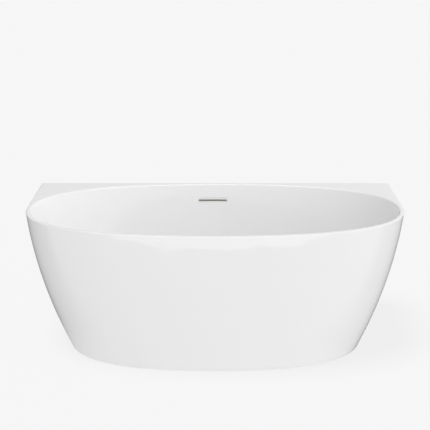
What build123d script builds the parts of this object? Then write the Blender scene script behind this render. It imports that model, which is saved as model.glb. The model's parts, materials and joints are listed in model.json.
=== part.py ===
"""Back-to-wall bathtub: an acrylic basin and skirt on a steel cradle, with its waste, trap and overflow.

X runs along the bath, +Y points at the wall and Z up. The origin is on the floor, under the middle of
the bath's outline. All sizes are in millimetres.
"""

import os
from math import atan2, degrees, hypot

from build123d import *

# Overall sizes
length = 1600
depth = 750
height = 600
floor_height = 170  # the basin's inner floor above the ground

# Outer skirt: how far it draws in from rim to ground, and how far each profile bows out
side_taper = 168
front_taper = 38
side_bulge = 27
front_bulge = 10
rim_fullness = 0.65
foot_fullness = 0.675
skirt_gap = 2  # shadow gap under the skirt
skirt_flange = 25

# Basin
side_rim = 17
end_rim = 20  # rim width at the front and at the wall
end_slope = 223  # how far a backrest runs in from rim to floor
wall_slope = 115
end_bow = 20
wall_bow = 12
basin_radius = 95
basin_fullness = 0.62
sheet = 5  # acrylic
backing = 4  # fibreglass under the basin
rim_inner_radius = 7
rim_outer_radius = 4

# Board and cradle under the basin
board_thickness = 15
board_inset = 110  # board end to the end of the basin floor
board_hole_radius = 55
board_corner = 30
rail_size = 25
rail_wall = 2
rail_inset = 125  # long rail to the side of the basin floor
rail_end_gap = 20  # long rail end to the skirt's foot
cradle_inset = 200  # cross rail to the end of the basin floor
cradle_front_gap = 95  # cross rail end to the rim above it
cradle_rear_gap = 35
rail_corner = 3
cap_thickness = 3

# Blocks that tie the skirt to the rails, and the screws
block_width = 90
block_height = 30
block_overlap = 45  # along the rail
screw_radius = 2.4
screw_head_radius = 5
screw_head = 3
screw_bite = 10
screw_clearance = 0.3
board_screw_spacing = 180
board_screw_count = 4  # in each long rail
block_screw_spacing = 22

# Levelling legs
stud_radius = 6
stud_clearance = 0.1
nut_across = 18
weld_nut = 10
lock_nut = 6
pad_radius = 25
pad_height = 12
pad_boss = 8
pad_boss_radius = 11
stud_socket = 6  # bottom of the stud above the ground
stud_below_top = 14  # top of the stud below the top of its rail
front_leg_gap = 160  # leg to the rim's line
rear_leg_gap = 75

# Waste, with its sprung plug
recess_radius = 38
recess_depth = 2
flange_radius = 35
flange_thickness = 2.5
bore_radius = 21.5
spigot_radius = 24
spigot_length = 49
hole_clearance = 1
seal_thickness = 1
under_seal = 5
under_seal_radius = 42
waste_radius = 30
waste_flange = 5
neck_radius = 21
neck_bore = 17
neck_length = 16
hub_radius = 10
hub_height = 8
hub_top = 11  # below the flange's seat
spoke_width = 3
cartridge_radius = 6.5
cartridge_bore = 4.6
cartridge_length = 39
cartridge_top = 6  # below the flange's seat
cartridge_end = 3
stem_radius = 3
stem_clearance = 0.1
foot_radius = 4.3
foot_height = 3
foot_drop = 16  # stem foot below the cartridge's inner top
plug_radius = 30
plug_edge = 2
plug_dome = 3
plug_seal_radius = 27
plug_seal_bore = 22.5
plug_seal_thickness = 1.2
plug_gap = 0.3
spring_radius = 3.6
spring_wire = 0.8
spring_turns = 7

# Trap and outlet
trap_radius = 50
trap_wall = 2.5
trap_height = 44
trap_corner = 10
trap_fit = 0.4
trap_neck_radius = 19
collar_radius = 23
collar_height = 3.6
dip_gap = 12  # under the dip tube
union_radius = 30
union_thread = 14
union_lip = 4
union_gap = 2.1  # union nut to the top of the trap
pipe_radius = 20
pipe_wall = 2.3
pipe_cover = 0.5  # top of the trap above the socket
socket_wall = 2.5
socket_end = 84  # from the trap's axis
socket_depth = 24
outlet_nut_wall = 3.5  # round the socket
outlet_nut_length = 28
outlet_nut_lip = 4
outlet_seal = 4
pipe_end_gap = 25  # pipe end to the wall
push_in = 48  # how far the pipe goes into the next fitting
mark_width = 2
mark_depth = 0.4

# Overflow
slot_width = 128
slot_height = 8
slot_drop = 74  # rim to the middle of the slot
slot_offset = -10
slot_corner = 2
trim_wall = 2
trim_lip = 3
trim_face = 1.2
trim_fit = 0.2
box_width = 156
box_above = 26  # above and below the middle of the slot
box_below = 75
box_face = 20  # flat part of the box's front below the slot
box_wall = 2
box_wall_gap = 4
box_stand_off = 0.6  # between the box's top edge and the basin
box_outlet_offset = -45
gasket_width = 8
hose_radius = 14
hose_bore = 11
stub_bore = 8.5
hose_bend = 70
hose_rail_gap = 3
hose_nut_radius = 17.5
hose_nut_length = 20
hose_nut_lip = 4
stub_length = 30
clip_wall = 1.5
clip_width = 12
clip_tab = 28

# Timber under the deck
batten = 9
batten_height = 35
batten_length = 335
batten_end_gap = 255  # batten to the end of the rim
deck_board = 12
deck_board_length = 232
clearance = 3

wall_y = depth / 2
half_length = length / 2
rim_x = half_length - side_rim
rim_y = wall_y - end_rim
floor_x = rim_x - end_slope
floor_y = rim_y - wall_slope
deck_under = height - sheet
backing_under = floor_height - sheet - backing
rail_top = backing_under - board_thickness
cradle_top = rail_top - rail_size
cradle_under = cradle_top - rail_size
rail_y = floor_y - rail_inset
rail_end = half_length - side_taper - rail_end_gap
cradle_x = floor_x - cradle_inset
cradle_front = cradle_front_gap - wall_y
cradle_rear = wall_y - cradle_rear_gap
slot_z = height - slot_drop

os.makedirs("parts", exist_ok=True)


def save(piece, name):
    """Labels a finished piece and writes it to its own STEP file."""
    piece.part.label = name
    export_step(piece.part, f"parts/{name}.step")


def between(low, high, share, bow=0):
    """A size part of the way from low to high, with a parabolic bow in the middle."""
    return low + (high - low) * share + 4 * bow * share * (1 - share)


def oval(half_x, half_y, fullness, z):
    """An oval of four Bezier quarters at height z: fullness 0.55 is an ellipse, and 1 a rectangle."""
    with BuildSketch(Plane.XY.offset(z)) as profile:
        with BuildLine():
            Bezier((half_x, 0), (half_x, fullness * half_y), (fullness * half_x, half_y), (0, half_y))
            mirror(about=Plane.YZ)
            mirror(about=Plane.XZ)
        make_face()
    return profile.sketch


def d_outline(half_x, front, back, fullness, z):
    """The bath's outline at height z: half an oval in front, straight sides, and a straight back."""
    with BuildSketch(Plane.XY.offset(z)) as profile:
        with BuildLine():
            Bezier((0, -front), (fullness * half_x, -front), (half_x, -fullness * front), (half_x, 0))
            Polyline((half_x, 0), (half_x, back), (-half_x, back), (-half_x, 0))
            Bezier((-half_x, 0), (-half_x, -fullness * front), (-fullness * half_x, -front), (0, -front))
        make_face()
    return profile.sketch


def skirt_form(inset, back=wall_y):
    """The solid inside the skirt's outer face, taken in by inset, from the ground to the rim."""
    with BuildPart() as form:
        for share in (0, 1 / 3, 2 / 3, 1):
            half_x = between(half_length - side_taper, half_length, share, side_bulge)
            front = between(wall_y - front_taper, wall_y, share, front_bulge)
            fullness = between(foot_fullness, rim_fullness, share)
            add(d_outline(half_x - inset, front - inset, back, fullness, share * height))
        loft()
    return form.part


def basin_half_depth(z, growth):
    """How far the basin's wall stands from the middle line at height z, grown outwards by growth."""
    share = (z - floor_height + growth) / (height - floor_height + growth)
    return between(floor_y, rim_y, share, wall_bow) + growth


def basin_form(growth):
    """The space inside the basin, grown outwards by growth on its walls and floor."""
    with BuildPart() as form:
        for share in (0, 1 / 2, 1):
            half_x = between(floor_x, rim_x, share, end_bow) + growth
            half_y = between(floor_y, rim_y, share, wall_bow) + growth
            fullness = between(basin_fullness, rim_fullness, share)
            add(oval(half_x, half_y, fullness, between(floor_height - growth, height, share)))
        loft()
        fillet(form.faces().sort_by(Axis.Z)[0].edges(), basin_radius + growth)
    return form.part


def bar(x_range, y_range, z_range, mode=Mode.ADD):
    """A plain box between three pairs of limits."""
    centre = [(low + high) / 2 for low, high in (x_range, y_range, z_range)]
    size = [abs(high - low) for low, high in (x_range, y_range, z_range)]
    with Locations(tuple(centre)):
        Box(*size, mode=mode)


def rod(x, y, z_range, radius, mode=Mode.ADD):
    """An upright cylinder."""
    low, high = z_range
    with Locations((x, y, low)):
        Cylinder(radius, high - low, align=(Align.CENTER, Align.CENTER, Align.MIN), mode=mode)


def reach(start, end, z, radius, heading=90, mode=Mode.ADD):
    """A level cylinder at height z, between two distances from the upright axis, on a heading in degrees."""
    direction = Vector(1, 0, 0).rotate(Axis.Z, heading)
    with Locations(Plane(origin=direction * start + Vector(0, 0, z), z_dir=direction)):
        Cylinder(radius, end - start, align=(Align.CENTER, Align.CENTER, Align.MIN), mode=mode)


inner_face = basin_form(0)
outer_face = basin_form(sheet)
backing_face = basin_form(sheet + backing)
clear_face = basin_form(sheet + backing + clearance)
skirt_inner = skirt_form(sheet, depth)

# ---- Bath ----

slot_cut_width = slot_width + 2 * trim_wall
slot_cut_height = slot_height + 2 * trim_wall
slot_cut_corner = slot_corner + trim_wall
hole_radius = spigot_radius + hole_clearance

# Basin and deck, one moulded acrylic sheet
with BuildPart() as bath_shell:
    add(d_outline(half_length, wall_y, wall_y, rim_fullness, deck_under))
    extrude(amount=sheet)
    add(outer_face)
    add(inner_face, mode=Mode.SUBTRACT)
    deck = bath_shell.faces().sort_by(Axis.Z)[-1]
    fillet(deck.inner_wires()[0].edges(), rim_inner_radius)
    deck = bath_shell.faces().sort_by(Axis.Z)[-1]
    front_and_sides = deck.outer_wire().edges().sort_by(Axis.Y)[:-1]
    fillet(front_and_sides, rim_outer_radius)
    rod(0, 0, (floor_height - recess_depth, floor_height), recess_radius, Mode.SUBTRACT)
    rod(0, 0, (backing_under, floor_height), hole_radius, Mode.SUBTRACT)
    with BuildSketch(Plane.XZ.offset(-wall_y)):
        with Locations((slot_offset, slot_z)):
            RectangleRounded(slot_cut_width, slot_cut_height, slot_cut_corner)
    extrude(amount=end_rim + wall_slope, mode=Mode.SUBTRACT)
save(bath_shell, "bath_shell")

# Fibreglass under the basin, cut away round the overflow
box_x = (slot_offset - box_width / 2, slot_offset + box_width / 2)
box_z = (slot_z - box_below, slot_z + box_above)
with BuildPart() as shell_backing:
    add(backing_face)
    add(outer_face, mode=Mode.SUBTRACT)
    bar((-length, length), (-depth, depth), (deck_under, height), Mode.SUBTRACT)
    rod(0, 0, (backing_under, floor_height), hole_radius, Mode.SUBTRACT)
    bar((box_x[0] - clearance, box_x[1] + clearance), (0, depth), (box_z[0] - clearance, box_z[1] + clearance),
        Mode.SUBTRACT)
save(shell_backing, "shell_backing")

# Skirt, open at the wall, with a flange turned in along its foot
with BuildPart() as skirt_foot:
    add(skirt_form(sheet / 2))
    bar((-length, length), (-depth, depth), (skirt_gap, skirt_gap + sheet), Mode.INTERSECT)
    add(skirt_form(sheet + skirt_flange, depth), mode=Mode.SUBTRACT)

with BuildPart() as outer_skirt:
    add(skirt_form(0))
    add(skirt_inner, mode=Mode.SUBTRACT)
    bar((-length, length), (-depth, depth), (deck_under, height), Mode.SUBTRACT)
    bar((-length, length), (-depth, depth), (0, skirt_gap), Mode.SUBTRACT)
    add(skirt_foot.part)
save(outer_skirt, "outer_skirt")

# ---- Timber ----

batten_y = wall_y - box_wall_gap
batten_end = half_length - batten_end_gap
for side, name in ((-1, "left"), (1, "right")):
    with BuildPart() as deck_corner:
        bar((side * (half_length - deck_board_length), side * length), (0, batten_y),
            (deck_under - deck_board, deck_under))
        add(skirt_inner, mode=Mode.INTERSECT)
        add(clear_face, mode=Mode.SUBTRACT)
    save(deck_corner, f"deck_corner_{name}")
    with BuildPart() as edge_batten:
        bar((side * (batten_end - batten_length), side * batten_end), (batten_y - batten, batten_y),
            (deck_under - batten_height, deck_under))
        add(clear_face, mode=Mode.SUBTRACT)
    save(edge_batten, f"edge_batten_{name}")

board_screw_xs = [
    (place - (board_screw_count - 1) / 2) * board_screw_spacing for place in range(board_screw_count)
]
with BuildPart() as base_board:
    with BuildSketch(Plane.XY.offset(rail_top)):
        RectangleRounded(2 * (floor_x - board_inset), 2 * (rail_y + rail_size), board_corner)
        Circle(board_hole_radius, mode=Mode.SUBTRACT)
    extrude(amount=board_thickness)
    for x in board_screw_xs:
        for y in (-rail_y, rail_y):
            rod(x, y, (rail_top, rail_top + screw_bite), screw_radius, Mode.SUBTRACT)
save(base_board, "base_board")

# ---- Cradle: two long rails on two cross rails ----

front_leg_y = front_leg_gap - wall_y
rear_leg_y = wall_y - rear_leg_gap
legs = {
    "front_left": (-cradle_x, front_leg_y, cradle_under),
    "front_right": (cradle_x, front_leg_y, cradle_under),
    "front_middle": (0, -rail_y, cradle_top),
    "rear_left": (-cradle_x, rear_leg_y, cradle_under),
    "rear_right": (cradle_x, rear_leg_y, cradle_under),
}
stud_hole = stud_radius + screw_clearance
hose_y = wall_y - clearance - hose_nut_radius
outlet_x = slot_offset + box_outlet_offset
hose_heading = degrees(atan2(hose_y, outlet_x))
hose_run = hypot(hose_y, outlet_x)
clip_x = rail_y * outlet_x / hose_y
clip_screw_x = clip_x + clip_tab - screw_head_radius - 1
end_screw_xs = [rail_end - block_overlap / 2 + place * block_screw_spacing / 2 for place in (-1, 1)]
front_screw_ys = [cradle_front + block_overlap / 2 + place * block_screw_spacing / 2 for place in (-1, 1)]

for y, name in ((-rail_y, "front"), (rail_y, "rear")):
    with BuildPart() as long_rail:
        with BuildSketch(Plane.YZ.offset(-rail_end)):
            with Locations((y, cradle_top + rail_size / 2)):
                RectangleRounded(rail_size, rail_size, rail_corner)
                RectangleRounded(rail_size - 2 * rail_wall, rail_size - 2 * rail_wall, rail_corner - rail_wall,
                                 mode=Mode.SUBTRACT)
        extrude(amount=2 * rail_end)
        for x in board_screw_xs + end_screw_xs + [-x for x in end_screw_xs]:
            rod(x, y, (cradle_top, rail_top), screw_radius + screw_clearance, Mode.SUBTRACT)
        if name == "front":
            rod(0, y, (cradle_top, cradle_top + rail_wall), stud_hole, Mode.SUBTRACT)
        else:
            rod(clip_screw_x, y, (cradle_top, cradle_top + rail_wall), screw_radius, Mode.SUBTRACT)
    save(long_rail, f"long_rail_{name}")

for x, name in ((-cradle_x, "left"), (cradle_x, "right")):
    with BuildPart() as cross_rail:
        with BuildSketch(Plane.XZ.offset(-cradle_rear)):
            with Locations((x, cradle_under + rail_size / 2)):
                RectangleRounded(rail_size, rail_size, rail_corner)
                RectangleRounded(rail_size - 2 * rail_wall, rail_size - 2 * rail_wall, rail_corner - rail_wall,
                                 mode=Mode.SUBTRACT)
        extrude(amount=cradle_rear - cradle_front)
        for y in front_screw_ys:
            rod(x, y, (cradle_under, cradle_top), screw_radius + screw_clearance, Mode.SUBTRACT)
        for y in (front_leg_y, rear_leg_y):
            rod(x, y, (cradle_under, cradle_under + rail_wall), stud_hole, Mode.SUBTRACT)
    save(cross_rail, f"cross_rail_{name}")

with BuildPart() as rail_caps:
    for y in (-rail_y, rail_y):
        for x in (-rail_end, rail_end):
            bar((x, x + cap_thickness * x / rail_end), (y - rail_size / 2, y + rail_size / 2),
                (cradle_top, rail_top))
    for x in (-cradle_x, cradle_x):
        for y, outward in ((cradle_front, -1), (cradle_rear, 1)):
            bar((x - rail_size / 2, x + rail_size / 2), (y, y + cap_thickness * outward),
                (cradle_under, cradle_top))
save(rail_caps, "rail_caps")

# Blocks between the rails and the skirt, bonded to the skirt
for side, name in ((-1, "left"), (1, "right")):
    with BuildPart() as front_block:
        middle = side * cradle_x
        bar((middle - block_width / 2, middle + block_width / 2), (cradle_front + block_overlap, -depth),
            (cradle_top, cradle_top + block_height))
        add(skirt_inner, mode=Mode.INTERSECT)
        for y in front_screw_ys:
            rod(middle, y, (cradle_top, cradle_top + screw_bite), screw_radius, Mode.SUBTRACT)
    save(front_block, f"front_block_{name}")
    for y, place in ((-rail_y, "front"), (rail_y, "rear")):
        with BuildPart() as end_block:
            bar((side * (rail_end - block_overlap), side * length), (y - block_width / 2, y + block_width / 2),
                (cradle_top - block_height, cradle_top))
            add(skirt_inner, mode=Mode.INTERSECT)
            for x in end_screw_xs:
                rod(side * x, y, (cradle_top - screw_bite, cradle_top), screw_radius, Mode.SUBTRACT)
        save(end_block, f"end_block_{name}_{place}")

with BuildPart() as board_screws:
    for x in board_screw_xs:
        for y in (-rail_y, rail_y):
            rod(x, y, (cradle_top, rail_top + screw_bite), screw_radius)
            rod(x, y, (cradle_top - screw_head, cradle_top), screw_head_radius)
save(board_screws, "board_screws")

with BuildPart() as block_screws:
    for side in (-1, 1):
        for y in front_screw_ys:
            rod(side * cradle_x, y, (cradle_under, cradle_top + screw_bite), screw_radius)
            rod(side * cradle_x, y, (cradle_under - screw_head, cradle_under), screw_head_radius)
        for x in end_screw_xs:
            for y in (-rail_y, rail_y):
                rod(side * x, y, (cradle_top - screw_bite, rail_top), screw_radius)
                rod(side * x, y, (rail_top, rail_top + screw_head), screw_head_radius)
save(block_screws, "block_screws")

# ---- Levelling legs ----

for name, nut, drop in (("weld_nuts", weld_nut, weld_nut), ("lock_nuts", lock_nut, weld_nut + lock_nut)):
    with BuildPart() as nuts:
        for x, y, underside in legs.values():
            with BuildSketch(Plane.XY.offset(underside - drop)):
                with Locations((x, y)):
                    RegularPolygon(nut_across / 2, 6, major_radius=False)
                    Circle(stud_radius + stud_clearance, mode=Mode.SUBTRACT)
            extrude(amount=nut)
    save(nuts, name)

for name, (x, y, underside) in legs.items():
    with BuildPart() as leg_stud:
        rod(x, y, (stud_socket, underside + rail_size - stud_below_top), stud_radius)
        chamfer(leg_stud.edges().filter_by(GeomType.CIRCLE), 1)
    save(leg_stud, f"leg_stud_{name}")
    with BuildPart() as leg_pad:
        rod(x, y, (0, pad_height), pad_radius)
        fillet(leg_pad.edges().group_by(Axis.Z)[-1], 3)
        rod(x, y, (pad_height, pad_height + pad_boss), pad_boss_radius)
        add(leg_stud.part, mode=Mode.SUBTRACT)
    save(leg_pad, f"leg_pad_{name}")

# ---- Waste and sprung plug ----

seat = floor_height - recess_depth + seal_thickness  # underside of the waste's top flange
flange_top = seat + flange_thickness
body_top = backing_under - under_seal
hose_z = cradle_top - hose_rail_gap - hose_radius
body_under = hose_z - hose_nut_radius - rail_wall
neck_under = body_under - neck_length
cartridge_head = seat - cartridge_top
cartridge_foot = cartridge_head - cartridge_length
foot_top = cartridge_head - cartridge_end - foot_drop

with BuildPart() as waste_seal_upper:
    with BuildSketch(Plane.XY.offset(floor_height - recess_depth)):
        Circle(flange_radius - seal_thickness)
        Circle(hole_radius, mode=Mode.SUBTRACT)
    extrude(amount=seal_thickness)
save(waste_seal_upper, "waste_seal_upper")

with BuildPart() as waste_seal_lower:
    with BuildSketch(Plane.XY.offset(body_top)):
        Circle(under_seal_radius)
        Circle(hole_radius, mode=Mode.SUBTRACT)
    extrude(amount=under_seal)
save(waste_seal_lower, "waste_seal_lower")

with BuildPart() as waste_flange_piece:
    rod(0, 0, (seat, flange_top), flange_radius)
    fillet(waste_flange_piece.edges().group_by(Axis.Z)[-1], flange_thickness * 0.7)
    rod(0, 0, (seat - spigot_length, seat), spigot_radius)
    rod(0, 0, (seat - spigot_length, flange_top), bore_radius, Mode.SUBTRACT)
    fillet(waste_flange_piece.faces().sort_by(Axis.Z)[-1].inner_wires()[0].edges(), 1)
    rod(0, 0, (seat - hub_top - hub_height, seat - hub_top), hub_radius)
    for heading in (0, 90):
        with Locations(Location((0, 0, seat - hub_top - hub_height / 2), (0, 0, heading))):
            Box(2 * (bore_radius + 1), spoke_width, hub_height)
    rod(0, 0, (seat - spigot_length, flange_top), cartridge_radius, Mode.SUBTRACT)
save(waste_flange_piece, "waste_flange")

with BuildPart() as plug_cartridge:
    rod(0, 0, (cartridge_foot, cartridge_head), cartridge_radius)
    rod(0, 0, (cartridge_foot + cartridge_end, cartridge_head - cartridge_end), cartridge_bore, Mode.SUBTRACT)
    rod(0, 0, (cartridge_head - cartridge_end, cartridge_head), stem_radius + stem_clearance, Mode.SUBTRACT)
save(plug_cartridge, "plug_cartridge")

spring_low = cartridge_foot + cartridge_end + spring_wire / 2
spring_high = foot_top - foot_height - spring_wire / 2
with BuildPart() as plug_spring:
    with BuildLine(Plane.XY.offset(spring_low)) as coil:
        Helix((spring_high - spring_low) / spring_turns, spring_high - spring_low, spring_radius)
    with BuildSketch(Plane(origin=coil.line @ 0, z_dir=coil.line % 0)):
        Circle(spring_wire / 2)
    sweep()
save(plug_spring, "plug_spring")

plug_under = flange_top + plug_gap + plug_seal_thickness
with BuildPart() as plug_stem:
    rod(0, 0, (foot_top, plug_under), stem_radius)
    rod(0, 0, (foot_top - foot_height, foot_top), foot_radius)
save(plug_stem, "plug_stem")

with BuildPart() as plug_seal:
    with BuildSketch(Plane.XY.offset(flange_top + plug_gap)):
        Circle(plug_seal_radius)
        Circle(plug_seal_bore, mode=Mode.SUBTRACT)
    extrude(amount=plug_seal_thickness)
save(plug_seal, "plug_seal")

with BuildPart() as plug_cap:
    with BuildSketch(Plane.XZ):
        with BuildLine():
            Polyline((0, plug_under + plug_edge + plug_dome), (0, plug_under), (plug_radius, plug_under),
                     (plug_radius, plug_under + plug_edge))
            Spline((plug_radius, plug_under + plug_edge), (0, plug_under + plug_edge + plug_dome),
                   tangents=((-1, 0.5), (-1, 0)))
        make_face()
    revolve(axis=Axis.Z)
save(plug_cap, "plug_cap")

# ---- Overflow ----

hose_start = waste_radius + 2 + hose_nut_lip
hose_top = box_z[0] - hose_nut_lip
box_front = basin_half_depth(box_z[1], sheet) + box_stand_off
box_back = wall_y - box_wall_gap
box_nose = hose_y - hose_nut_radius + 1

with BuildPart() as waste_body:
    rod(0, 0, (body_top - waste_flange, body_top), under_seal_radius)
    rod(0, 0, (body_under, body_top), waste_radius)
    rod(0, 0, (neck_under, body_under), neck_radius)
    reach(0, hose_start - hose_nut_lip + stub_length, hose_z, hose_bore, hose_heading)
    rod(0, 0, (body_under + waste_flange, body_top), spigot_radius, Mode.SUBTRACT)
    rod(0, 0, (neck_under, body_top), neck_bore, Mode.SUBTRACT)
    reach(0, hose_run, hose_z, stub_bore, hose_heading, Mode.SUBTRACT)
save(waste_body, "waste_body")

lip_face = basin_form(-trim_face)
sleeve_back = box_front + box_wall
with BuildPart() as slot_trim:
    with BuildSketch(Plane.XZ.offset(-sleeve_back)):
        with Locations((slot_offset, slot_z)):
            RectangleRounded(slot_cut_width + 2 * trim_lip, slot_cut_height + 2 * trim_lip,
                             slot_cut_corner + trim_lip)
    extrude(amount=end_rim + wall_slope)
    add(inner_face, mode=Mode.INTERSECT)
    with BuildSketch(Plane.XZ.offset(-sleeve_back)):
        with Locations((slot_offset, slot_z)):
            RectangleRounded(slot_cut_width - 2 * trim_fit, slot_cut_height - 2 * trim_fit,
                             slot_cut_corner - trim_fit)
    extrude(amount=end_rim + wall_slope)
    with BuildSketch(Plane.XZ.offset(-sleeve_back)):
        with Locations((slot_offset, slot_z)):
            RectangleRounded(slot_width, slot_height, slot_corner)
    extrude(amount=2 * wall_slope, mode=Mode.SUBTRACT)
    add(lip_face, mode=Mode.SUBTRACT)
save(slot_trim, "slot_trim")

with BuildPart() as overflow_gasket:
    with BuildSketch(Plane.XZ.offset(-box_front)):
        with Locations((slot_offset, slot_z)):
            RectangleRounded(slot_cut_width + 2 * gasket_width, slot_cut_height + 2 * gasket_width,
                             slot_cut_corner + gasket_width)
            RectangleRounded(slot_cut_width, slot_cut_height, slot_cut_corner, mode=Mode.SUBTRACT)
    extrude(amount=end_rim)
    add(outer_face, mode=Mode.SUBTRACT)
save(overflow_gasket, "overflow_gasket")


def box_profile(inset, x):
    """The overflow box seen from its end, taken in by inset: flat behind the slot and deeper below."""
    with BuildSketch(Plane.YZ.offset(x)) as profile:
        with BuildLine():
            Polyline(
                (box_back, box_z[1]),
                (box_front, box_z[1]),
                (box_front, slot_z - box_face),
                (box_nose, box_z[0] + box_face),
                (box_nose, box_z[0]),
                (box_back, box_z[0]),
                close=True,
            )
        make_face()
        if inset:
            offset(amount=-inset, kind=Kind.INTERSECTION, mode=Mode.REPLACE)
    return profile.sketch


with BuildPart() as overflow_box:
    add(box_profile(0, box_x[0]))
    extrude(amount=box_width, dir=(1, 0, 0))
    rod(outlet_x, hose_y, (hose_top - stub_length, box_z[0] + box_wall), hose_bore)
    add(box_profile(box_wall, box_x[0] + box_wall))
    extrude(amount=box_width - 2 * box_wall, dir=(1, 0, 0), mode=Mode.SUBTRACT)
    rod(outlet_x, hose_y, (hose_top - stub_length, box_z[0] + box_wall), stub_bore, Mode.SUBTRACT)
    with BuildSketch(Plane.XZ.offset(-box_front - box_wall)):
        with Locations((slot_offset, slot_z)):
            RectangleRounded(slot_cut_width, slot_cut_height, slot_cut_corner)
    extrude(amount=box_wall, mode=Mode.SUBTRACT)
save(overflow_box, "overflow_box")

hose_plane = Plane(origin=(0, 0, 0), x_dir=(outlet_x, hose_y, 0), z_dir=(hose_y, -outlet_x, 0))
with BuildPart() as overflow_hose:
    with BuildLine(hose_plane) as hose_path:
        Line((hose_start, hose_z), (hose_run - hose_bend, hose_z))
        RadiusArc((hose_run - hose_bend, hose_z), (hose_run, hose_z + hose_bend), -hose_bend)
        Line((hose_run, hose_z + hose_bend), (hose_run, hose_top))
    with BuildSketch(Plane(origin=hose_path.line @ 0, z_dir=hose_path.line % 0)):
        Circle(hose_radius)
        Circle(hose_bore, mode=Mode.SUBTRACT)
    sweep()
save(overflow_hose, "overflow_hose")

with BuildPart() as hose_nut_lower:
    reach(hose_start - hose_nut_lip, hose_start - hose_nut_lip + hose_nut_length, hose_z, hose_nut_radius,
          hose_heading)
    reach(hose_start, hose_run, hose_z, hose_radius, hose_heading, Mode.SUBTRACT)
    reach(0, hose_run, hose_z, hose_bore, hose_heading, Mode.SUBTRACT)
save(hose_nut_lower, "hose_nut_lower")

with BuildPart() as hose_nut_upper:
    rod(outlet_x, hose_y, (box_z[0] - hose_nut_length, box_z[0]), hose_nut_radius)
    rod(outlet_x, hose_y, (box_z[0] - hose_nut_length, hose_top), hose_radius, Mode.SUBTRACT)
    rod(outlet_x, hose_y, (hose_top, box_z[0]), hose_bore, Mode.SUBTRACT)
save(hose_nut_upper, "hose_nut_upper")

clip_run = rail_y * hose_run / hose_y
with BuildPart() as hose_clip:
    reach(clip_run - clip_width / 2, clip_run + clip_width / 2, hose_z, hose_radius + clip_wall, hose_heading)
    bar((clip_x, clip_x + clip_tab), (rail_y - clip_width / 2, rail_y + clip_width / 2), (hose_z, cradle_top))
    bar((clip_x + hose_radius + clip_wall, clip_x + length), (0, depth), (0, cradle_top - clip_wall),
        Mode.SUBTRACT)
    reach(0, hose_run, hose_z, hose_radius, hose_heading, Mode.SUBTRACT)
    rod(clip_screw_x, rail_y, (hose_z, cradle_top), screw_radius, Mode.SUBTRACT)
save(hose_clip, "hose_clip")

# ---- Trap and outlet ----

collar_top = neck_under - trap_fit
collar_under = collar_top - collar_height
union_shelf = collar_under - trap_fit
trap_top = union_shelf - union_lip - union_gap
trap_gap = trap_top - trap_height  # under the trap
socket_radius = pipe_radius + socket_wall
outlet_nut_radius = socket_radius + outlet_nut_wall
pipe_z = trap_top - pipe_cover - socket_radius
pipe_start = socket_end - socket_depth
pipe_end = wall_y - pipe_end_gap

with BuildPart() as trap_body:
    rod(0, 0, (trap_gap, trap_top), trap_radius)
    fillet(trap_body.edges().filter_by(GeomType.CIRCLE), trap_corner)
    reach(0, socket_end, pipe_z, socket_radius)
    with BuildSketch(Plane.XZ):
        with BuildLine():
            Polyline(
                (0, trap_gap + trap_wall),
                (trap_radius - trap_corner, trap_gap + trap_wall),
                (trap_radius - trap_wall, trap_gap + trap_corner),
                (trap_radius - trap_wall, trap_top - trap_corner),
                (trap_radius - trap_corner, trap_top - trap_wall),
                (0, trap_top - trap_wall),
                close=True,
            )
        make_face()
    revolve(axis=Axis.Z, mode=Mode.SUBTRACT)
    reach(trap_neck_radius, pipe_start, pipe_z, pipe_radius - pipe_wall, mode=Mode.SUBTRACT)
    reach(pipe_start, socket_end, pipe_z, pipe_radius, mode=Mode.SUBTRACT)
    rod(0, 0, (trap_gap + dip_gap, collar_top), trap_neck_radius)
    rod(0, 0, (collar_under, collar_top), collar_radius)
    rod(0, 0, (trap_gap + dip_gap, collar_top), trap_neck_radius - trap_wall, Mode.SUBTRACT)
save(trap_body, "trap_body")

with BuildPart() as trap_union_nut:
    rod(0, 0, (union_shelf - union_lip, neck_under + union_thread), union_radius)
    rod(0, 0, (neck_under, neck_under + union_thread), neck_radius, Mode.SUBTRACT)
    rod(0, 0, (union_shelf, neck_under), collar_radius + trap_fit, Mode.SUBTRACT)
    rod(0, 0, (union_shelf - union_lip, union_shelf), trap_neck_radius + trap_fit, Mode.SUBTRACT)
save(trap_union_nut, "trap_union_nut")

outlet_nut_end = socket_end + outlet_seal + outlet_nut_lip
with BuildPart() as trap_outlet_nut:
    reach(outlet_nut_end - outlet_nut_length, outlet_nut_end, pipe_z, outlet_nut_radius)
    reach(0, socket_end + outlet_seal, pipe_z, socket_radius, mode=Mode.SUBTRACT)
    reach(0, outlet_nut_end, pipe_z, pipe_radius, mode=Mode.SUBTRACT)
save(trap_outlet_nut, "trap_outlet_nut")

with BuildPart() as trap_outlet_seal:
    reach(socket_end, socket_end + outlet_seal, pipe_z, socket_radius)
    reach(0, outlet_nut_end, pipe_z, pipe_radius, mode=Mode.SUBTRACT)
save(trap_outlet_seal, "trap_outlet_seal")

with BuildPart() as outlet_pipe:
    reach(pipe_start, pipe_end, pipe_z, pipe_radius)
    reach(0, pipe_end, pipe_z, pipe_radius - pipe_wall, mode=Mode.SUBTRACT)
    with BuildSketch(Plane.XZ.offset(push_in - pipe_end)):
        with Locations((0, pipe_z)):
            Circle(pipe_radius)
            Circle(pipe_radius - mark_depth, mode=Mode.SUBTRACT)
    extrude(amount=mark_width, mode=Mode.SUBTRACT)
save(outlet_pipe, "outlet_pipe")

with BuildPart() as clip_screw:
    rod(clip_screw_x, rail_y, (cradle_top - clip_wall, cradle_top + rail_wall), screw_radius)
    rod(clip_screw_x, rail_y, (cradle_top - clip_wall - screw_head, cradle_top - clip_wall), screw_head_radius)
save(clip_screw, "clip_screw")
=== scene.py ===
"""A back-to-wall bath: glossy acrylic basin and skirt, timber, steel cradle, waste, trap and overflow."""

import json
import logging
import math
from collections.abc import Sequence
from dataclasses import dataclass
from enum import Enum

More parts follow.
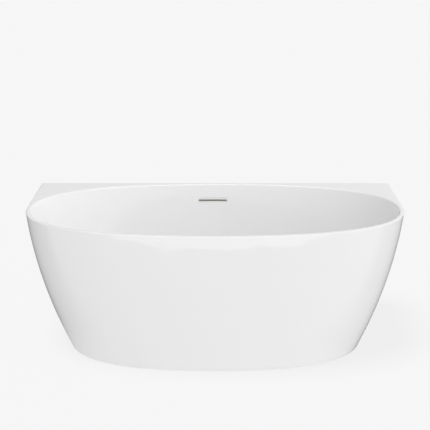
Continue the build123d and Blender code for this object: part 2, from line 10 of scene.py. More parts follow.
import bmesh
import bpy
import numpy as np
from mathutils import Matrix, Vector


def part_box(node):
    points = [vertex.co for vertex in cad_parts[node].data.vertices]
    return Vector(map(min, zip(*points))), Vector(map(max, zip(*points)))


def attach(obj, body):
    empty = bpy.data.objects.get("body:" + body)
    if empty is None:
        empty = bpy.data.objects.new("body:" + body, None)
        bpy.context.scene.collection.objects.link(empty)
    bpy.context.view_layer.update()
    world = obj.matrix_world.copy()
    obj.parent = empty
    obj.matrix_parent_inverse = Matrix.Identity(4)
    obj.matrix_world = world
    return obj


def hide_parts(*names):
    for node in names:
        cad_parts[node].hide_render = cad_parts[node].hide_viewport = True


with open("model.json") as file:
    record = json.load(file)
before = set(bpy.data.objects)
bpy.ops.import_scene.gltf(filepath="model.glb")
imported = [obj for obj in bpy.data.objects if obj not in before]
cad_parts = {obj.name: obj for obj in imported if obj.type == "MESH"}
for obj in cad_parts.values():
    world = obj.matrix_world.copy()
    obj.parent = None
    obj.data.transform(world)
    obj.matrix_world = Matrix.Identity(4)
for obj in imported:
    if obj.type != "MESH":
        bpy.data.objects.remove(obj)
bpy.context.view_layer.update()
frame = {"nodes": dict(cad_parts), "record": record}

MM = 0.001
LEGS = ("front_left", "front_right", "front_middle", "rear_left", "rear_right")
log = logging.getLogger("bath")


class Body(Enum):
    """The rigid bodies that pieces ride on."""

    BATH = "bath"
    PLUG = "plug"
    TRAP = "trap"


# ---------------------------------------------------------------------------
# Small tools
# ---------------------------------------------------------------------------


def linear(colour: str) -> tuple[float, float, float, float]:
    """Turns an sRGB hex colour to linear light.

    Args:
        colour: six hex digits, such as "f7f7f7".

    Returns:
        Red, green, blue and alpha, from 0 to 1.
    """
    parts = [int(colour[i : i + 2], 16) / 255 for i in (0, 2, 4)]
    return (*[c / 12.92 if c <= 0.04045 else ((c + 0.055) / 1.055) ** 2.4 for c in parts], 1.0)


def add_node(tree: bpy.types.NodeTree, kind: str, inputs: dict | None = None, **settings) -> bpy.types.Node:
    """Adds a node, sets its properties, and fills or links its inputs.

    Args:
        tree: the node tree to add to.
        kind: the node's type, such as "ShaderNodeTexNoise".
        inputs: input name or index to a value, or to an output socket to link from.
        **settings: the node's own properties.

    Returns:
        The new node.
    """
    node = tree.nodes.new(kind)
    for name, value in settings.items():
        setattr(node, name, value)
    for key, value in (inputs or {}).items():
        socket = node.inputs[key]
        if isinstance(value, bpy.types.NodeSocket):
            tree.links.new(value, socket)
        else:
            socket.default_value = value
    return node


def make_mesh(
    name: str, points: np.ndarray, faces: Sequence[Sequence[int]], sharp: float = 35.0
) -> bpy.types.Object:
    """Makes a smooth-shaded object of points and faces, with its faces outwards and its hard edges sharp.

    Args:
        name: the object's name.
        points: one row of x, y and z in metres for each vertex.
        faces: the vertex numbers of each face.
        sharp: the angle in degrees past which an edge is drawn sharp.

    Returns:
        The new object, linked to the scene.
    """
    mesh = bpy.data.meshes.new(name)
    mesh.from_pydata([tuple(p) for p in points], [], [tuple(f) for f in faces])
    work = bmesh.new()
    work.from_mesh(mesh)
    bmesh.ops.remove_doubles(work, verts=work.verts, dist=1e-6)
    bmesh.ops.recalc_face_normals(work, faces=work.faces)
    work.to_mesh(mesh)
    work.free()
    mesh.shade_smooth()
    mesh.set_sharp_from_angle(angle=math.radians(sharp))
    piece = bpy.data.objects.new(name, mesh)
    bpy.context.scene.collection.objects.link(piece)
    return piece


def grid_faces(
    rows: int, columns: int, wrap_rows: bool, wrap_columns: bool, first: int = 0
) -> list[list[int]]:
    """Lists the quads of a grid of points laid out row by row.

    Args:
        rows: how many rows of points there are.
        columns: how many points a row has.
        wrap_rows: whether the last row joins the first.
        wrap_columns: whether each row closes on itself.
        first: the number of the grid's first point.

    Returns:
        Four vertex numbers for each face.
    """
    return [
        [
            first + r * columns + c,
            first + r * columns + (c + 1) % columns,
            first + (r + 1) % rows * columns + (c + 1) % columns,
            first + (r + 1) % rows * columns + c,
        ]
        for r in range(rows if wrap_rows else rows - 1)
        for c in range(columns if wrap_columns else columns - 1)
    ]


def lathe(name: str, profile: Sequence[tuple[
    float, float
]], segments: int = 64, place: Matrix | None = None,
          sharp: float = 35.0) -> bpy.types.Object:
    """Turns a closed profile about an axis.

    Args:
        name: the object's name.
        profile: radius and height of each corner in millimetres, in order round the section. One that
            starts on the axis also ends there.
        segments: how many steps make a full turn.
        place: where the turned shape goes. Its axis is Z before that.
        sharp: the angle in degrees past which an edge is drawn sharp.

    Returns:
        The turned object.
    """
    angles = np.arange(segments) * 2 * math.pi / segments
    points = []
    for radius, height in profile:
        points += [(radius * math.cos(a) * MM, radius * math.sin(a) * MM, height * MM) for a in angles]
    cloud = np.array(points)
    if place is not None:
        cloud = np.array([place @ Vector(p) for p in cloud])
    return make_mesh(name, cloud, grid_faces(len(profile), segments, profile[0][0] > 0, True), sharp)


def level_axis(heading: float, height: float) -> Matrix:
    """A placing that turns Z to a level heading in degrees from +X, at a height in millimetres."""
    return Matrix.Translation((
        0, 0, height * MM
    )) @ Matrix.Rotation(math.radians(heading), 4, "Z") @ Matrix.Rotation(
        math.pi / 2, 4, "Y"
    )


def cut_out(piece: bpy.types.Object, cutter: bpy.types.Object) -> None:
    """Cuts one closed mesh out of another, and removes the cutter."""
    modifier = piece.modifiers.new("cut", "BOOLEAN")
    modifier.object = cutter
    modifier.solver = "EXACT"
    modifier.operation = "DIFFERENCE"
    bake_modifiers(piece)
    bpy.data.objects.remove(cutter)


def bake_modifiers(piece: bpy.types.Object) -> None:
    """Turns an object's evaluated shape to its plain mesh, and removes its modifiers."""
    graph = bpy.context.evaluated_depsgraph_get()
    graph.update()
    mesh = bpy.data.meshes.new_from_object(piece.evaluated_get(graph), depsgraph=graph)
    piece.modifiers.clear()
    old = piece.data
    piece.data = mesh
    mesh.name = piece.name
    bpy.data.meshes.remove(old)


def dress(piece: bpy.types.Object, material: bpy.types.Material, slot: str, body: str, *nodes: str) -> None:
    """Gives a finished piece its material, sets it riding, and hides the CAD nodes it stands for."""
    piece.data.materials.clear()
    piece.data.materials.append(material)
    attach(piece, body)
    if nodes:
        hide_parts(*nodes)
    log.info("%s: %d faces on %s", piece.name, len(piece.data.polygons), body)


# ---------------------------------------------------------------------------
# Finishes
# ---------------------------------------------------------------------------


@dataclass(frozen=True)
class Finish:
    """A procedural finish: a shader with its colour and roughness broken up, and a fine bump.

    The pattern sizes are real ones in millimetres.
    """

    name: str
    colour: str
    shade: str  # the darker colour that the base wanders towards
    roughness: tuple[float, float]
    wander_mm: float  # size of the colour patches
    grain_mm: float  # size of the surface's grain
    grain_depth_mm: float
    ior: float = 1.5
    metallic: float = 0.0
    coat: float = 0.0
    stretch: tuple[float, float, float] = (1.0, 1.0, 1.0)  # over 1 shortens the grain along that axis

    def build(self) -> bpy.types.Material:
        """Makes the material.

        Returns:
            The new material.
        """
        material = bpy.data.materials.new(self.name)
        material.use_nodes = True
        tree = material.node_tree
        tree.nodes.clear()
        place = add_node(tree, "ShaderNodeTexCoord").outputs["Object"]
        scaled = add_node(tree, "ShaderNodeMapping", {"Vector": place, "Scale": self.stretch}).outputs[0]
        shader = add_node(
            tree, "ShaderNodeBsdfPrincipled", {
                "IOR": self.ior, "Metallic": self.metallic, "Coat Weight": self.coat
            }
        )
        self.colour_in(tree, shader, place, scaled)
        wander = add_node(
            tree, "ShaderNodeTexNoise", {
                "Vector": scaled, "Scale": 1 / (self.wander_mm * MM), "Detail": 3.0
            }
        )
        low, high = self.roughness
        rough = add_node(
            tree, "ShaderNodeMapRange", {
                "Value": wander.outputs[0], 1: 0.3, 2: 0.7, "To Min": low, "To Max": high
            }
        )
        tree.links.new(rough.outputs[0], shader.inputs["Roughness"])
        height = self.height(tree, place, scaled)
        bump = add_node(tree, "ShaderNodeBump", {"Height": height, "Distance": self.grain_depth_mm * MM})
        tree.links.new(bump.outputs[0], shader.inputs["Normal"])
        add_node(tree, "ShaderNodeOutputMaterial", {"Surface": shader.outputs[0]})
        return material

    def colour_in(self, tree: bpy.types.NodeTree, shader: bpy.types.Node, place: bpy.types.NodeSocket,
                  scaled: bpy.types.NodeSocket) -> None:
        """Links the base colour: patches that wander between the two colours."""
        patches = add_node(
            tree, "ShaderNodeTexNoise", {
                "Vector": scaled, "Scale": 1 / (self.wander_mm * MM), "Detail": 4.0
            }
        )
        blend = add_node(
            tree, "ShaderNodeMix", {0: patches.outputs[0], 6: linear(self.shade), 7: linear(self.colour)},
            data_type="RGBA",
        )
        tree.links.new(blend.outputs[2], shader.inputs["Base Color"])

    def height(self, tree: bpy.types.NodeTree, place: bpy.types.NodeSocket,
               scaled: bpy.types.NodeSocket) -> bpy.types.NodeSocket:
        """Makes the bump's height, from 0 to 1: an even grain."""
        grain = add_node(
            tree, "ShaderNodeTexNoise", {"Vector": scaled, "Scale": 1 / (self.grain_mm * MM), "Detail": 3.0}
        )
        return grain.outputs[0]


@dataclass(frozen=True)
class Chopped(Finish):
    """Chopped glass strands under resin: short crossing straight lines, and glassy lumps between them."""

    strand_mm: float = 30.0
    thread_mm: float = 2.2

    def height(self, tree: bpy.types.NodeTree, place: bpy.types.NodeSocket,
               scaled: bpy.types.NodeSocket) -> bpy.types.NodeSocket:
        """Lays three fans of strands over each other, with the resin's lumps under them."""
        total = add_node(
            tree, "ShaderNodeTexNoise", {"Vector": place, "Scale": 1 / (self.grain_mm * MM), "Detail": 2.0}
        ).outputs[0]
        for turn in (0.35, 1.4, 2.45):
            turned = add_node(
                tree,
                "ShaderNodeMapping",
                {
                    "Vector": place,
                    "Rotation": (turn, turn * 0.7, turn),
                    "Scale": (
                        1 / (self.strand_mm * MM), 1 / (self.thread_mm * MM), 1 / (self.thread_mm * MM)
                    ),
                },
            ).outputs[0]
            strand = add_node(
                tree, "ShaderNodeTexNoise", {"Vector": turned, "Scale": 1.0, "Detail": 1.0}
            ).outputs[0]
            total = add_node(tree, "ShaderNodeMath", {0: total, 1: strand}, operation="MAXIMUM").outputs[0]
        return total


@dataclass(frozen=True)
class Plies(Finish):
    """Plywood: long face grain, and thin bands of alternate plies on the edges."""

    ply_mm: float = 1.5

    def colour_in(self, tree: bpy.types.NodeTree, shader: bpy.types.Node, place: bpy.types.NodeSocket,
                  scaled: bpy.types.NodeSocket) -> None:
        """Links the base colour: grain drawn out along X, crossed by a band at each ply in height."""
        grain = add_node(
            tree, "ShaderNodeTexNoise", {"Vector": scaled, "Scale": 1 / (self.grain_mm * MM), "Detail": 5.0}
        )
        height = add_node(tree, "ShaderNodeSeparateXYZ", {0: place}).outputs[2]
        count = add_node(
            tree, "ShaderNodeMath", {0: height, 1: math.pi / (self.ply_mm * MM)}, operation="MULTIPLY"
        )
        wave = add_node(tree, "ShaderNodeMath", {0: count.outputs[0]}, operation="SINE")
        band = add_node(
            tree, "ShaderNodeMapRange", {"Value": wave.outputs[0], 1: -0.3, 2: 0.3, 3: 0.15, 4: 0.0}
        )
        mixed = add_node(
            tree, "ShaderNodeMath", {0: grain.outputs[0], 1: band.outputs[0]}, operation="SUBTRACT"
        )
        blend = add_node(
            tree, "ShaderNodeMix", {0: mixed.outputs[0], 6: linear(self.shade), 7: linear(self.colour)},
            data_type="RGBA",
        )
        tree.links.new(blend.outputs[2], shader.inputs["Base Color"])


@dataclass(frozen=True)
class Spangled(Finish):
    """Hot-dip galvanising: flat crystal patches a few millimetres across, each a slightly different grey."""

    spangle_mm: float = 9.0

    def colour_in(self, tree: bpy.types.NodeTree, shader: bpy.types.Node, place: bpy.types.NodeSocket,
                  scaled: bpy.types.NodeSocket) -> None:
        """Links the base colour: one grey for each crystal."""
        cells = add_node(
            tree, "ShaderNodeTexVoronoi", {"Vector": place, "Scale": 1 / (self.spangle_mm * MM)}
        )
        tone = add_node(tree, "ShaderNodeSeparateColor", {0: cells.outputs["Color"]})
        blend = add_node(
            tree, "ShaderNodeMix", {0: tone.outputs[0], 6: linear(self.shade), 7: linear(self.colour)},
            data_type="RGBA",
        )
        tree.links.new(blend.outputs[2], shader.inputs["Base Color"])


# Cast acrylic, vacuum formed: a deep even gloss, with only the mould's long soft waves in its reflections.
ACRYLIC = Finish("acrylic_gloss", "f0f0f0", "eeeeee", (0.035, 0.05), 400, 170, 1.5, ior=1.49,
                 stretch=(0.45, 1.0, 1.3))
# Chopped-strand glass in polyester resin, rolled by hand: crossing strands and a dull waxy shine.
FIBREGLASS = Chopped("fibreglass_laid_up", "d9d6c4", "c2bda4", (0.32, 0.55), 60, 9, 0.5, ior=1.55)
# Medium-density fibreboard, sawn: an even fine brown felt, darker in patches.
FIBREBOARD = Finish("fibreboard_raw", "b08d62", "96744c", (0.75, 0.9), 25, 1.2, 0.08)
# Birch plywood, sawn: pale long grain, and striped edges.
PLYWOOD = Plies("plywood_birch", "dcc39a", "b4946a", (0.6, 0.75), 40, 4, 0.08, stretch=(0.12, 1.0, 1.0))
# Mild steel tube, hot-dip galvanised: dull silver grey with a spangle of crystals.
GALVANISED = Spangled("steel_galvanised", "b4b8ba", "999ea1", (0.38, 0.55), 12, 2.0, 0.03, metallic=1.0)
# Rolled or turned steel with bright zinc plate: a clean cool shine.
ZINC = Finish("steel_zinc_plated", "c9ccd0", "b6babf", (0.2, 0.32), 8, 0.8, 0.01, metallic=1.0)
# Arc weld, brushed and sprayed with cold zinc: darker and rougher than the tube.
WELD = Finish("weld_cold_zinc", "8d9193", "6f7375", (0.45, 0.6), 3, 1.0, 0.08, metallic=1.0)
# Brass with polished chromium plate: a near mirror, a little blue.
CHROME = Finish("chrome_polished", "e3e5e8", "dfe1e4", (0.04, 0.07), 30, 4, 0.003, metallic=1.0)
# Turned brass bar: a warm shine with fine tool rings along its axis.
BRASS = Finish(
    "brass_turned", "c9a35a", "b88f48", (0.2, 0.3), 12, 0.7, 0.01, metallic=1.0, stretch=(0.2, 0.2, 1.0)
)
# Polypropylene, injection moulded: milky white with a soft satin skin.
POLYPROPYLENE = Finish("polypropylene_white", "e9e9e6", "e2e2de", (0.34, 0.42), 40, 0.8, 0.015, ior=1.49)
# Polythene hose, blow moulded over rings: greyer and waxier than the fittings.
POLYTHENE = Finish("polythene_grey_white", "d3d4d3", "c8c9c8", (0.36, 0.46), 20, 0.8, 0.015, ior=1.51)
# Nylon, injection moulded in black: dark satin with a fine spark-eroded grain.
NYLON = Finish("nylon_black", "222324", "191a1b", (0.42, 0.55), 15, 0.7, 0.02, ior=1.53)
# Moulded EPDM rubber: matt black with a grey bloom.
RUBBER = Finish("rubber_epdm", "2b2b2b", "1f1f1f", (0.7, 0.85), 10, 0.6, 0.02, ior=1.52)


@dataclass(frozen=True)
class Materials:
    """The finishes by the record's slot names, each made once."""

    slots: dict[str, bpy.types.Material]
    weld: bpy.types.Material

    @classmethod
    def build(cls) -> "Materials":
        """Makes every finish.

        Returns:
            The materials by slot.
        """
        finishes = {
            "acrylic": ACRYLIC, "fibreglass": FIBREGLASS, "mdf": FIBREBOARD, "plywood": PLYWOOD,
            "galvanised_steel": GALVANISED, "zinc_plated_steel": ZINC, "chrome": CHROME, "brass": BRASS,
            "white_polypropylene": POLYPROPYLENE, "grey_hose": POLYTHENE, "black_nylon": NYLON,
            "black_rubber": RUBBER,
        }
        return cls({slot: finish.build() for slot, finish in finishes.items()}, WELD.build())

    def dress_frame(self) -> None:
        """Gives every CAD node the material of its slot."""
        for part in frame["record"]["subparts"]:
            node = frame["nodes"][part["node"]]
            node.data.materials.clear()
            node.data.materials.append(self.slots[part["material_slot"]])


# ---------------------------------------------------------------------------
# The bath's form
# ---------------------------------------------------------------------------


@dataclass(frozen=True)
class BathForm:
    """The sizes in millimetres that basin, backing and skirt share, and the surfaces they give."""

    half_length: float = 800
    half_depth: float = 375
    height: float = 600
    floor: float = 170
    side_taper: float = 168
    front_taper: float = 38
    side_bulge: float = 27
    front_bulge: float = 10
    rim_fullness: float = 0.65
    foot_fullness: float = 0.675
    side_rim: float = 17
    end_rim: float = 20
    end_slope: float = 223
    wall_slope: float = 115
    end_bow: float = 20
    wall_bow: float = 12
    basin_radius: float = 95
    basin_fullness: float = 0.62
    sheet: float = 5
    steps: int = 104  # points in a quarter of a ring

    @staticmethod
    def between(low: float, high: float, share: np.ndarray, bow: float = 0.0) -> np.ndarray:
        """A size part of the way from low to high, with a parabolic bow in the middle."""
        return low + (high - low) * share + 4 * bow * share * (1 - share)

    @staticmethod
    def quarter(half_x: np.ndarray, half_y: np.ndarray, fullness: np.ndarray, t: np.ndarray) -> np.ndarray:
        """Points on a Bezier quarter of an oval, from its end on X to its end on Y.

        Args:
            half_x: half the oval's size along X.
            half_y: half the oval's size along Y.
            fullness: how far the handles reach, as a share of each half size.
            t: how far along the quarter, from 0 to 1.

        Returns:
            One row of x and y for each value.
        """
        s = 1 - t
        x = half_x * (s**3 + 3 * s * s * t + 3 * fullness * s * t * t)
        y = half_y * (3 * fullness * s * s * t + 3 * s * t * t + t**3)
        return np.stack([x, y], 1)

    def ring(self, half_x: np.ndarray, half_y: np.ndarray, fullness: np.ndarray) -> np.ndarray:
        """A whole oval of 4 x steps points, anticlockwise from +X. Each size may vary along it."""
        count = 4 * self.steps
        sizes = [np.broadcast_to(np.asarray(v, float), (count,)) for v in (half_x, half_y, fullness)]
        index = np.arange(count)
        part, place = index // self.steps, (index % self.steps) / self.steps
        t = np.where(part % 2 == 0, place, 1 - place)
        points = self.quarter(*sizes, t)
        points[:, 0] *= np.where((part == 1) | (part == 2), -1, 1)
        points[:, 1] *= np.where(part >= 2, -1, 1)
        return points

    def level(self, growth: float, z: np.ndarray) -> np.ndarray:
        """The basin's wall at height z, grown outwards, before the corner at its floor is rounded."""
        low = self.floor - growth
        share = (np.asarray(z, float) - low) / (self.height - low)
        rim_x, rim_y = self.half_length - self.side_rim, self.half_depth - self.end_rim
        return self.ring(
            self.between(rim_x - self.end_slope, rim_x, share, self.end_bow) + growth,
            self.between(rim_y - self.wall_slope, rim_y, share, self.wall_bow) + growth,
            self.between(self.basin_fullness, self.rim_fullness, share),
        )

    @staticmethod
    def outward(ring: np.ndarray) -> np.ndarray:
        """Unit outward directions of an anticlockwise closed ring."""
        along = np.roll(ring, -1, 0) - np.roll(ring, 1, 0)
        normal = np.stack([along[:, 1], -along[:, 0]], 1)
        return normal / np.linalg.norm(normal, axis=1, keepdims=True)

    def lean(self, growth: float, z: float, rise: float) -> np.ndarray:
        """How far the wall leans out at a height, in radians from upright, at each point of the ring."""
        low, high = self.level(growth, z), self.level(growth, z + rise)
        return np.arctan(((high - low) * self.outward(low)).sum(1) / rise)

    @staticmethod
    def lift(points: np.ndarray, z: np.ndarray) -> np.ndarray:
        """Adds a height to each point of a ring."""
        return np.column_stack([points, np.broadcast_to(np.asarray(z, float), (len(points),))])

    def basin(self, growth: float, top: np.ndarray, arcs: int = 14, rows: int = 34) -> list[np.ndarray]:
        """Rings up the basin: round its bottom corner and up its wall.

        Args:
            growth: how far the surface is outside the inner face.
            top: the height at which the wall stops, at each point of the ring.
            arcs: steps round the bottom corner.
            rows: steps up the wall.

        Returns:
            The rings, from the edge of the flat floor to the top.
        """
        low, radius = self.floor - growth, self.basin_radius + growth
        foot = self.level(growth, low)
        normal = self.outward(foot)
        lean = self.lean(growth, low, radius * 0.6)
        inset = radius * (1 / np.cos(lean) - np.tan(lean))
        meet = radius * (1 - np.sin(lean))
        target = self.level(growth, low + meet)
        drift = target - (foot + normal * (radius * np.cos(lean) - inset)[:, None])
        rings = []
        for share in np.linspace(0, 1, arcs + 1):
            angle = -math.pi / 2 + (math.pi / 2 - lean) * share
            out = radius * np.cos(angle) - inset
            up = radius * (1 + np.sin(angle))
            rings.append(self.lift(foot + normal * out[:, None] + drift * (up / meet)[:, None], low + up))
        for share in np.linspace(0, 1, rows + 1)[1:]:
            z = low + meet + (top - low - meet) * share
            rings.append(self.lift(self.level(growth, z), z))
        return rings

    def floor_rings(
        self, growth: float, edge: np.ndarray, radius: float, count: int = 10
    ) -> list[np.ndarray]:
        """Flat rings from a circle round the waste out to the edge of the basin's floor."""
        circle = self.circle(radius, self.floor - growth)
        return [circle + (edge - circle) * share for share in np.linspace(0, 1, count + 1)[:-1]]

    def circle(self, radius: float, z: float) -> np.ndarray:
        """A level circle round the waste with as many points as a ring."""
        angle = np.arange(4 * self.steps) * math.pi / (2 * self.steps)
        return np.stack([radius * np.cos(angle), radius * np.sin(angle), np.full(len(angle), z)], 1)

    def outline(self) -> tuple[np.ndarray, np.ndarray]:
        """The deck's D outline, matched point for point to the rim's ring.

        Returns:
            The points, and for each the direction its edge is rounded in, with no length along the wall.
        """
        rim = self.level(0, self.height)
        points = self.ring(self.half_length, self.half_depth, self.rim_fullness)
        corner = int(self.steps * 0.42)
        way = self.outward(points)
        index = np.arange(len(points))
        for side, place in ((1, index), (-1, 2 * self.steps - index)):
            beside = (place >= 0) & (place <= corner)
            behind = (place >= corner) & (place <= self.steps)
            turn = corner if side > 0 else 2 * self.steps - corner
            points[beside, 0] = side * self.half_length
            points[beside, 1] = self.half_depth * rim[beside, 1] / rim[turn, 1]
            points[behind, 0] = self.half_length * rim[behind, 0] / abs(rim[turn, 0])
            points[behind, 1] = self.half_depth
            way[behind] = 0
            way[beside] = (side, 0)
        return points, way

    def skirt_path(self, inset: float, z: float, count: int = 150) -> np.ndarray:
        """The skirt's open outline at a height, from the left wall end round the front to the right one."""
        share = z / self.height
        half_x = self.between(
            self.half_length - self.side_taper, self.half_length, share, self.side_bulge
        ) - inset
        front = self.between(
            self.half_depth - self.front_taper, self.half_depth, share, self.front_bulge
        ) - inset
        fullness = self.between(self.foot_fullness, self.rim_fullness, share)
        curve = self.quarter(half_x, front, fullness, np.linspace(0, 1, count + 1))
        side = np.stack([np.full(25, half_x), np.linspace(self.half_depth, 0, 25)], 1)
        right = np.concatenate([side[:-1], curve * (1, -1)])
        return self.lift(np.concatenate([right * (-1, 1), right[-2::-1]]), z)


FORM = BathForm()


@dataclass
class Shell:
    """The acrylic basin and deck with their two openings, and the fibreglass laid up behind."""

    materials: Materials
    rim_radius: float = 7
    edge_radius: float = 4
    recess_radius: float = 38
    recess_depth: float = 2
    hole_radius: float = 25
    slot: tuple[float, float] = (132, 12)
    slot_place: tuple[float, float] = (-10, 526)
    slot_corner: float = 4
    backing: float = 4
    window: tuple[float, float, float, float] = (-91, 71, 452, 559)  # left, right, bottom and top

    def rounded_rim(self) -> list[np.ndarray]:
        """Rings round the basin's rim, from its wall to the flat deck."""
        lean = FORM.lean(0, FORM.height - 20, 20)
        rim = FORM.level(0, FORM.height)
        normal = FORM.outward(rim)
        centre = self.rim_radius * (1 / np.cos(lean) - np.tan(lean))
        rings = []
        for share in np.linspace(0, 1, 8)[1:]:
            angle = (math.pi - lean) + (lean - math.pi / 2) * share
            out = centre + self.rim_radius * np.cos(angle)
            up = FORM.height - self.rim_radius + self.rim_radius * np.sin(angle)
            rings.append(FORM.lift(rim + normal * out[:, None], up))
        return rings

    def build_shell(self) -> bpy.types.Object:
        """Makes the basin and deck as one closed sheet.

        Returns:
            The finished object.
        """
        lean = FORM.lean(0, FORM.height - 20, 20)
        wall_top = FORM.height - self.rim_radius * (1 - np.sin(lean))
        inner = FORM.basin(0, wall_top)
        top = FORM.floor - self.recess_depth
        rings = [FORM.circle(self.hole_radius, top), FORM.circle(self.recess_radius - 1, top)]
        rings += [
            FORM.circle(self.recess_radius, top + 0.8), FORM.circle(self.recess_radius, FORM.floor - 0.5)
        ]
        rings += FORM.floor_rings(0, inner[0], self.recess_radius + 0.5) + inner + self.rounded_rim()
        outline, way = FORM.outline()
        edge = FORM.lift(outline - way * self.edge_radius, FORM.height)
        start = rings[-1]
        rings += [start + (edge - start) * share for share in np.linspace(0, 1, 5)[1:]]
        for angle in np.linspace(math.pi / 2, 0, 6)[1:]:
            out = self.edge_radius * (math.cos(angle) - 1)
            rings.append(FORM.lift(
                outline + way * out, FORM.height - self.edge_radius * (1 - math.sin(angle))
            ))
        under = FORM.height - FORM.sheet
        rings.append(FORM.lift(outline, under))
        outer = FORM.basin(FORM.sheet, np.full(len(outline), under))
        rings += outer[::-1] + FORM.floor_rings(FORM.sheet, outer[0], self.hole_radius)[::-1]
        count = len(rings)
        piece = make_mesh(
            "acrylic_bath", np.concatenate(rings) * MM, grid_faces(count, len(outline), True, True), 40
        )
        cut_out(piece, self.slot_cutter())
        dress(piece, self.materials.slots["acrylic"], "acrylic", Body.BATH.value, "bath_shell")
        return piece

    def slot_cutter(self) -> bpy.types.Object:
        """A rounded bar along Y that cuts the overflow slot through the wall behind."""
        wide, high = self.slot[0] / 2 - self.slot_corner, self.slot[1] / 2 - self.slot_corner
        section = []
        for turn, (sx, sz) in enumerate(((1, 1), (-1, 1), (-1, -1), (1, -1))):
            for angle in np.linspace(turn, turn + 1, 7) * math.pi / 2:
                section.append(
                    (
                        self.slot_place[0] + sx * wide + self.slot_corner * math.cos(angle),
                        self.slot_place[1] + sz * high + self.slot_corner * math.sin(angle),
                    )
                )
        count = len(section)
        points = [(x * MM, y, z * MM) for y in (0.25, 0.374) for x, z in section]
        faces = grid_faces(2, count, False, True) + [list(range(count)), list(range(count, 2 * count))]
        return make_mesh("slot_cutter", np.array(points), faces)

    def build_backing(self) -> bpy.types.Object:
        """Makes the fibreglass behind the basin, lumpy on its outer face, with its window at the overflow.

        Returns:
            The finished object.
        """
        under = np.full(4 * FORM.steps, FORM.height - FORM.sheet)
        outer = FORM.basin(FORM.sheet + self.backing, under)
        inner = FORM.basin(FORM.sheet, under)
        waves = np.random.default_rng(7).uniform(0, 2 * math.pi, (6, 3))
        for number, ring in enumerate(outer):
            # the hand-laid thickness swells and thins over some 80 to 200 mm, never past its nominal face
            lumps = sum(
                np.sin(ring[
                    :, 0
                ] / size + a) * np.sin(ring[:, 1] / size + b + ring[:, 2] / (size * 1.3) + c)
                for size, (a, b, c) in zip((13, 19, 27, 33, 21, 40), waves)
            )
            normal = FORM.outward(ring[:, :2])
            fade = 0.0 if number == 0 or number == len(outer) - 1 else 0.22
            ring[:, :2] -= normal * ((lumps + 4)[:, None] * fade)
        rings = FORM.floor_rings(FORM.sheet + self.backing, outer[0], self.hole_radius) + outer
        rings += inner[::-1] + FORM.floor_rings(FORM.sheet, inner[0], self.hole_radius)[::-1]
        piece = make_mesh(
            "fibreglass_backing", np.concatenate(rings) * MM, grid_faces(len(rings), len(under), True, True)
        )
        left, right, low, high = [v * MM for v in self.window]
        corners = [(
            x, y, z
        ) for y in (0.2, 0.374) for x, z in ((left, low), (right, low), (right, high), (left, high))]
        faces = grid_faces(2, 4, False, True) + [[0, 1, 2, 3], [4, 5, 6, 7]]
        cut_out(piece, make_mesh("window_cutter", np.array(corners), faces))
        dress(piece, self.materials.slots["fibreglass"], "fibreglass", Body.BATH.value, "shell_backing")
        return piece


@dataclass
class Skirt:
    """The acrylic skirt: a bowed wall, open behind, with a flange turned in along its foot."""

    materials: Materials
    gap: float = 2
    flange: float = 25
    corner: float = 2
    rows: int = 40

    def section(self) -> list[tuple[float, float]]:
        """Inset and height of each corner of the skirt's section, down the outside and back up."""
        thick, top = FORM.sheet, FORM.height - FORM.sheet
        low, shelf = self.gap, self.gap + FORM.sheet
        outside = [(0.0, z) for z in np.linspace(top, low + self.corner, self.rows)]
        bend = [(
            self.corner * (1 - math.cos(a)), low + self.corner * (1 - math.sin(a))
        ) for a in (0.5, 1.05, 1.57)]
        foot = [(thick + self.flange, low), (thick + self.flange, shelf), (thick + 2 * self.corner, shelf)]
        inside = [(thick, z) for z in np.linspace(shelf + 2 * self.corner, top, 14)]
        return outside + bend + foot + [(thick + self.corner * 0.6, shelf + self.corner * 0.6)] + inside

    def build(self) -> bpy.types.Object:
        """Makes the skirt as one closed sheet.

        Returns:
            The finished object.
        """
        paths = [FORM.skirt_path(inset, z) for inset, z in self.section()]
        rows, columns = len(paths), len(paths[0])
        faces = grid_faces(rows, columns, True, False)
        faces += [
            [r * columns for r in range(rows)], [r * columns + columns - 1 for r in range(rows)][::-1]
        ]
        piece = make_mesh("acrylic_skirt", np.concatenate(paths) * MM, faces, 40)
        dress(piece, self.materials.slots["acrylic"], "acrylic", Body.BATH.value, "outer_skirt")
        return piece


# ---------------------------------------------------------------------------
# Repeating detail, grown by Geometry Nodes
# ---------------------------------------------------------------------------


def start_tree(name: str, inputs: dict[str, str]) -> tuple[bpy.types.NodeTree, bpy.types.Node]:
    """Starts a Geometry Nodes tree with a geometry input, a material input and named inputs for its sizes.

    Args:
        name: the tree's name.
        inputs: each input's name, and its kind, such as "Float".

    Returns:
        The tree and its input node.
    """
    tree = bpy.data.node_groups.new(name, "GeometryNodeTree")
    tree.interface.new_socket("Geometry", in_out="INPUT", socket_type="NodeSocketGeometry")
    for label, kind in {**inputs, "Material": "Material"}.items():
        tree.interface.new_socket(label, in_out="INPUT", socket_type="NodeSocket" + kind)
    tree.interface.new_socket("Geometry", in_out="OUTPUT", socket_type="NodeSocketGeometry")
    return tree, add_node(tree, "NodeGroupInput")


def end_tree(
    tree: bpy.types.NodeTree, start: bpy.types.Node, geometry: bpy.types.NodeSocket
) -> bpy.types.NodeTree:
    """Ends a tree by making its copies real and giving them the material.

    Returns:
        The finished tree.
    """
    real = add_node(tree, "GeometryNodeRealizeInstances", {"Geometry": geometry})
    coated = add_node(
        tree, "GeometryNodeSetMaterial", {
            "Geometry": real.outputs[0], "Material": start.outputs["Material"]
        }
    )
    add_node(tree, "NodeGroupOutput", {0: coated.outputs[0]})
    return tree


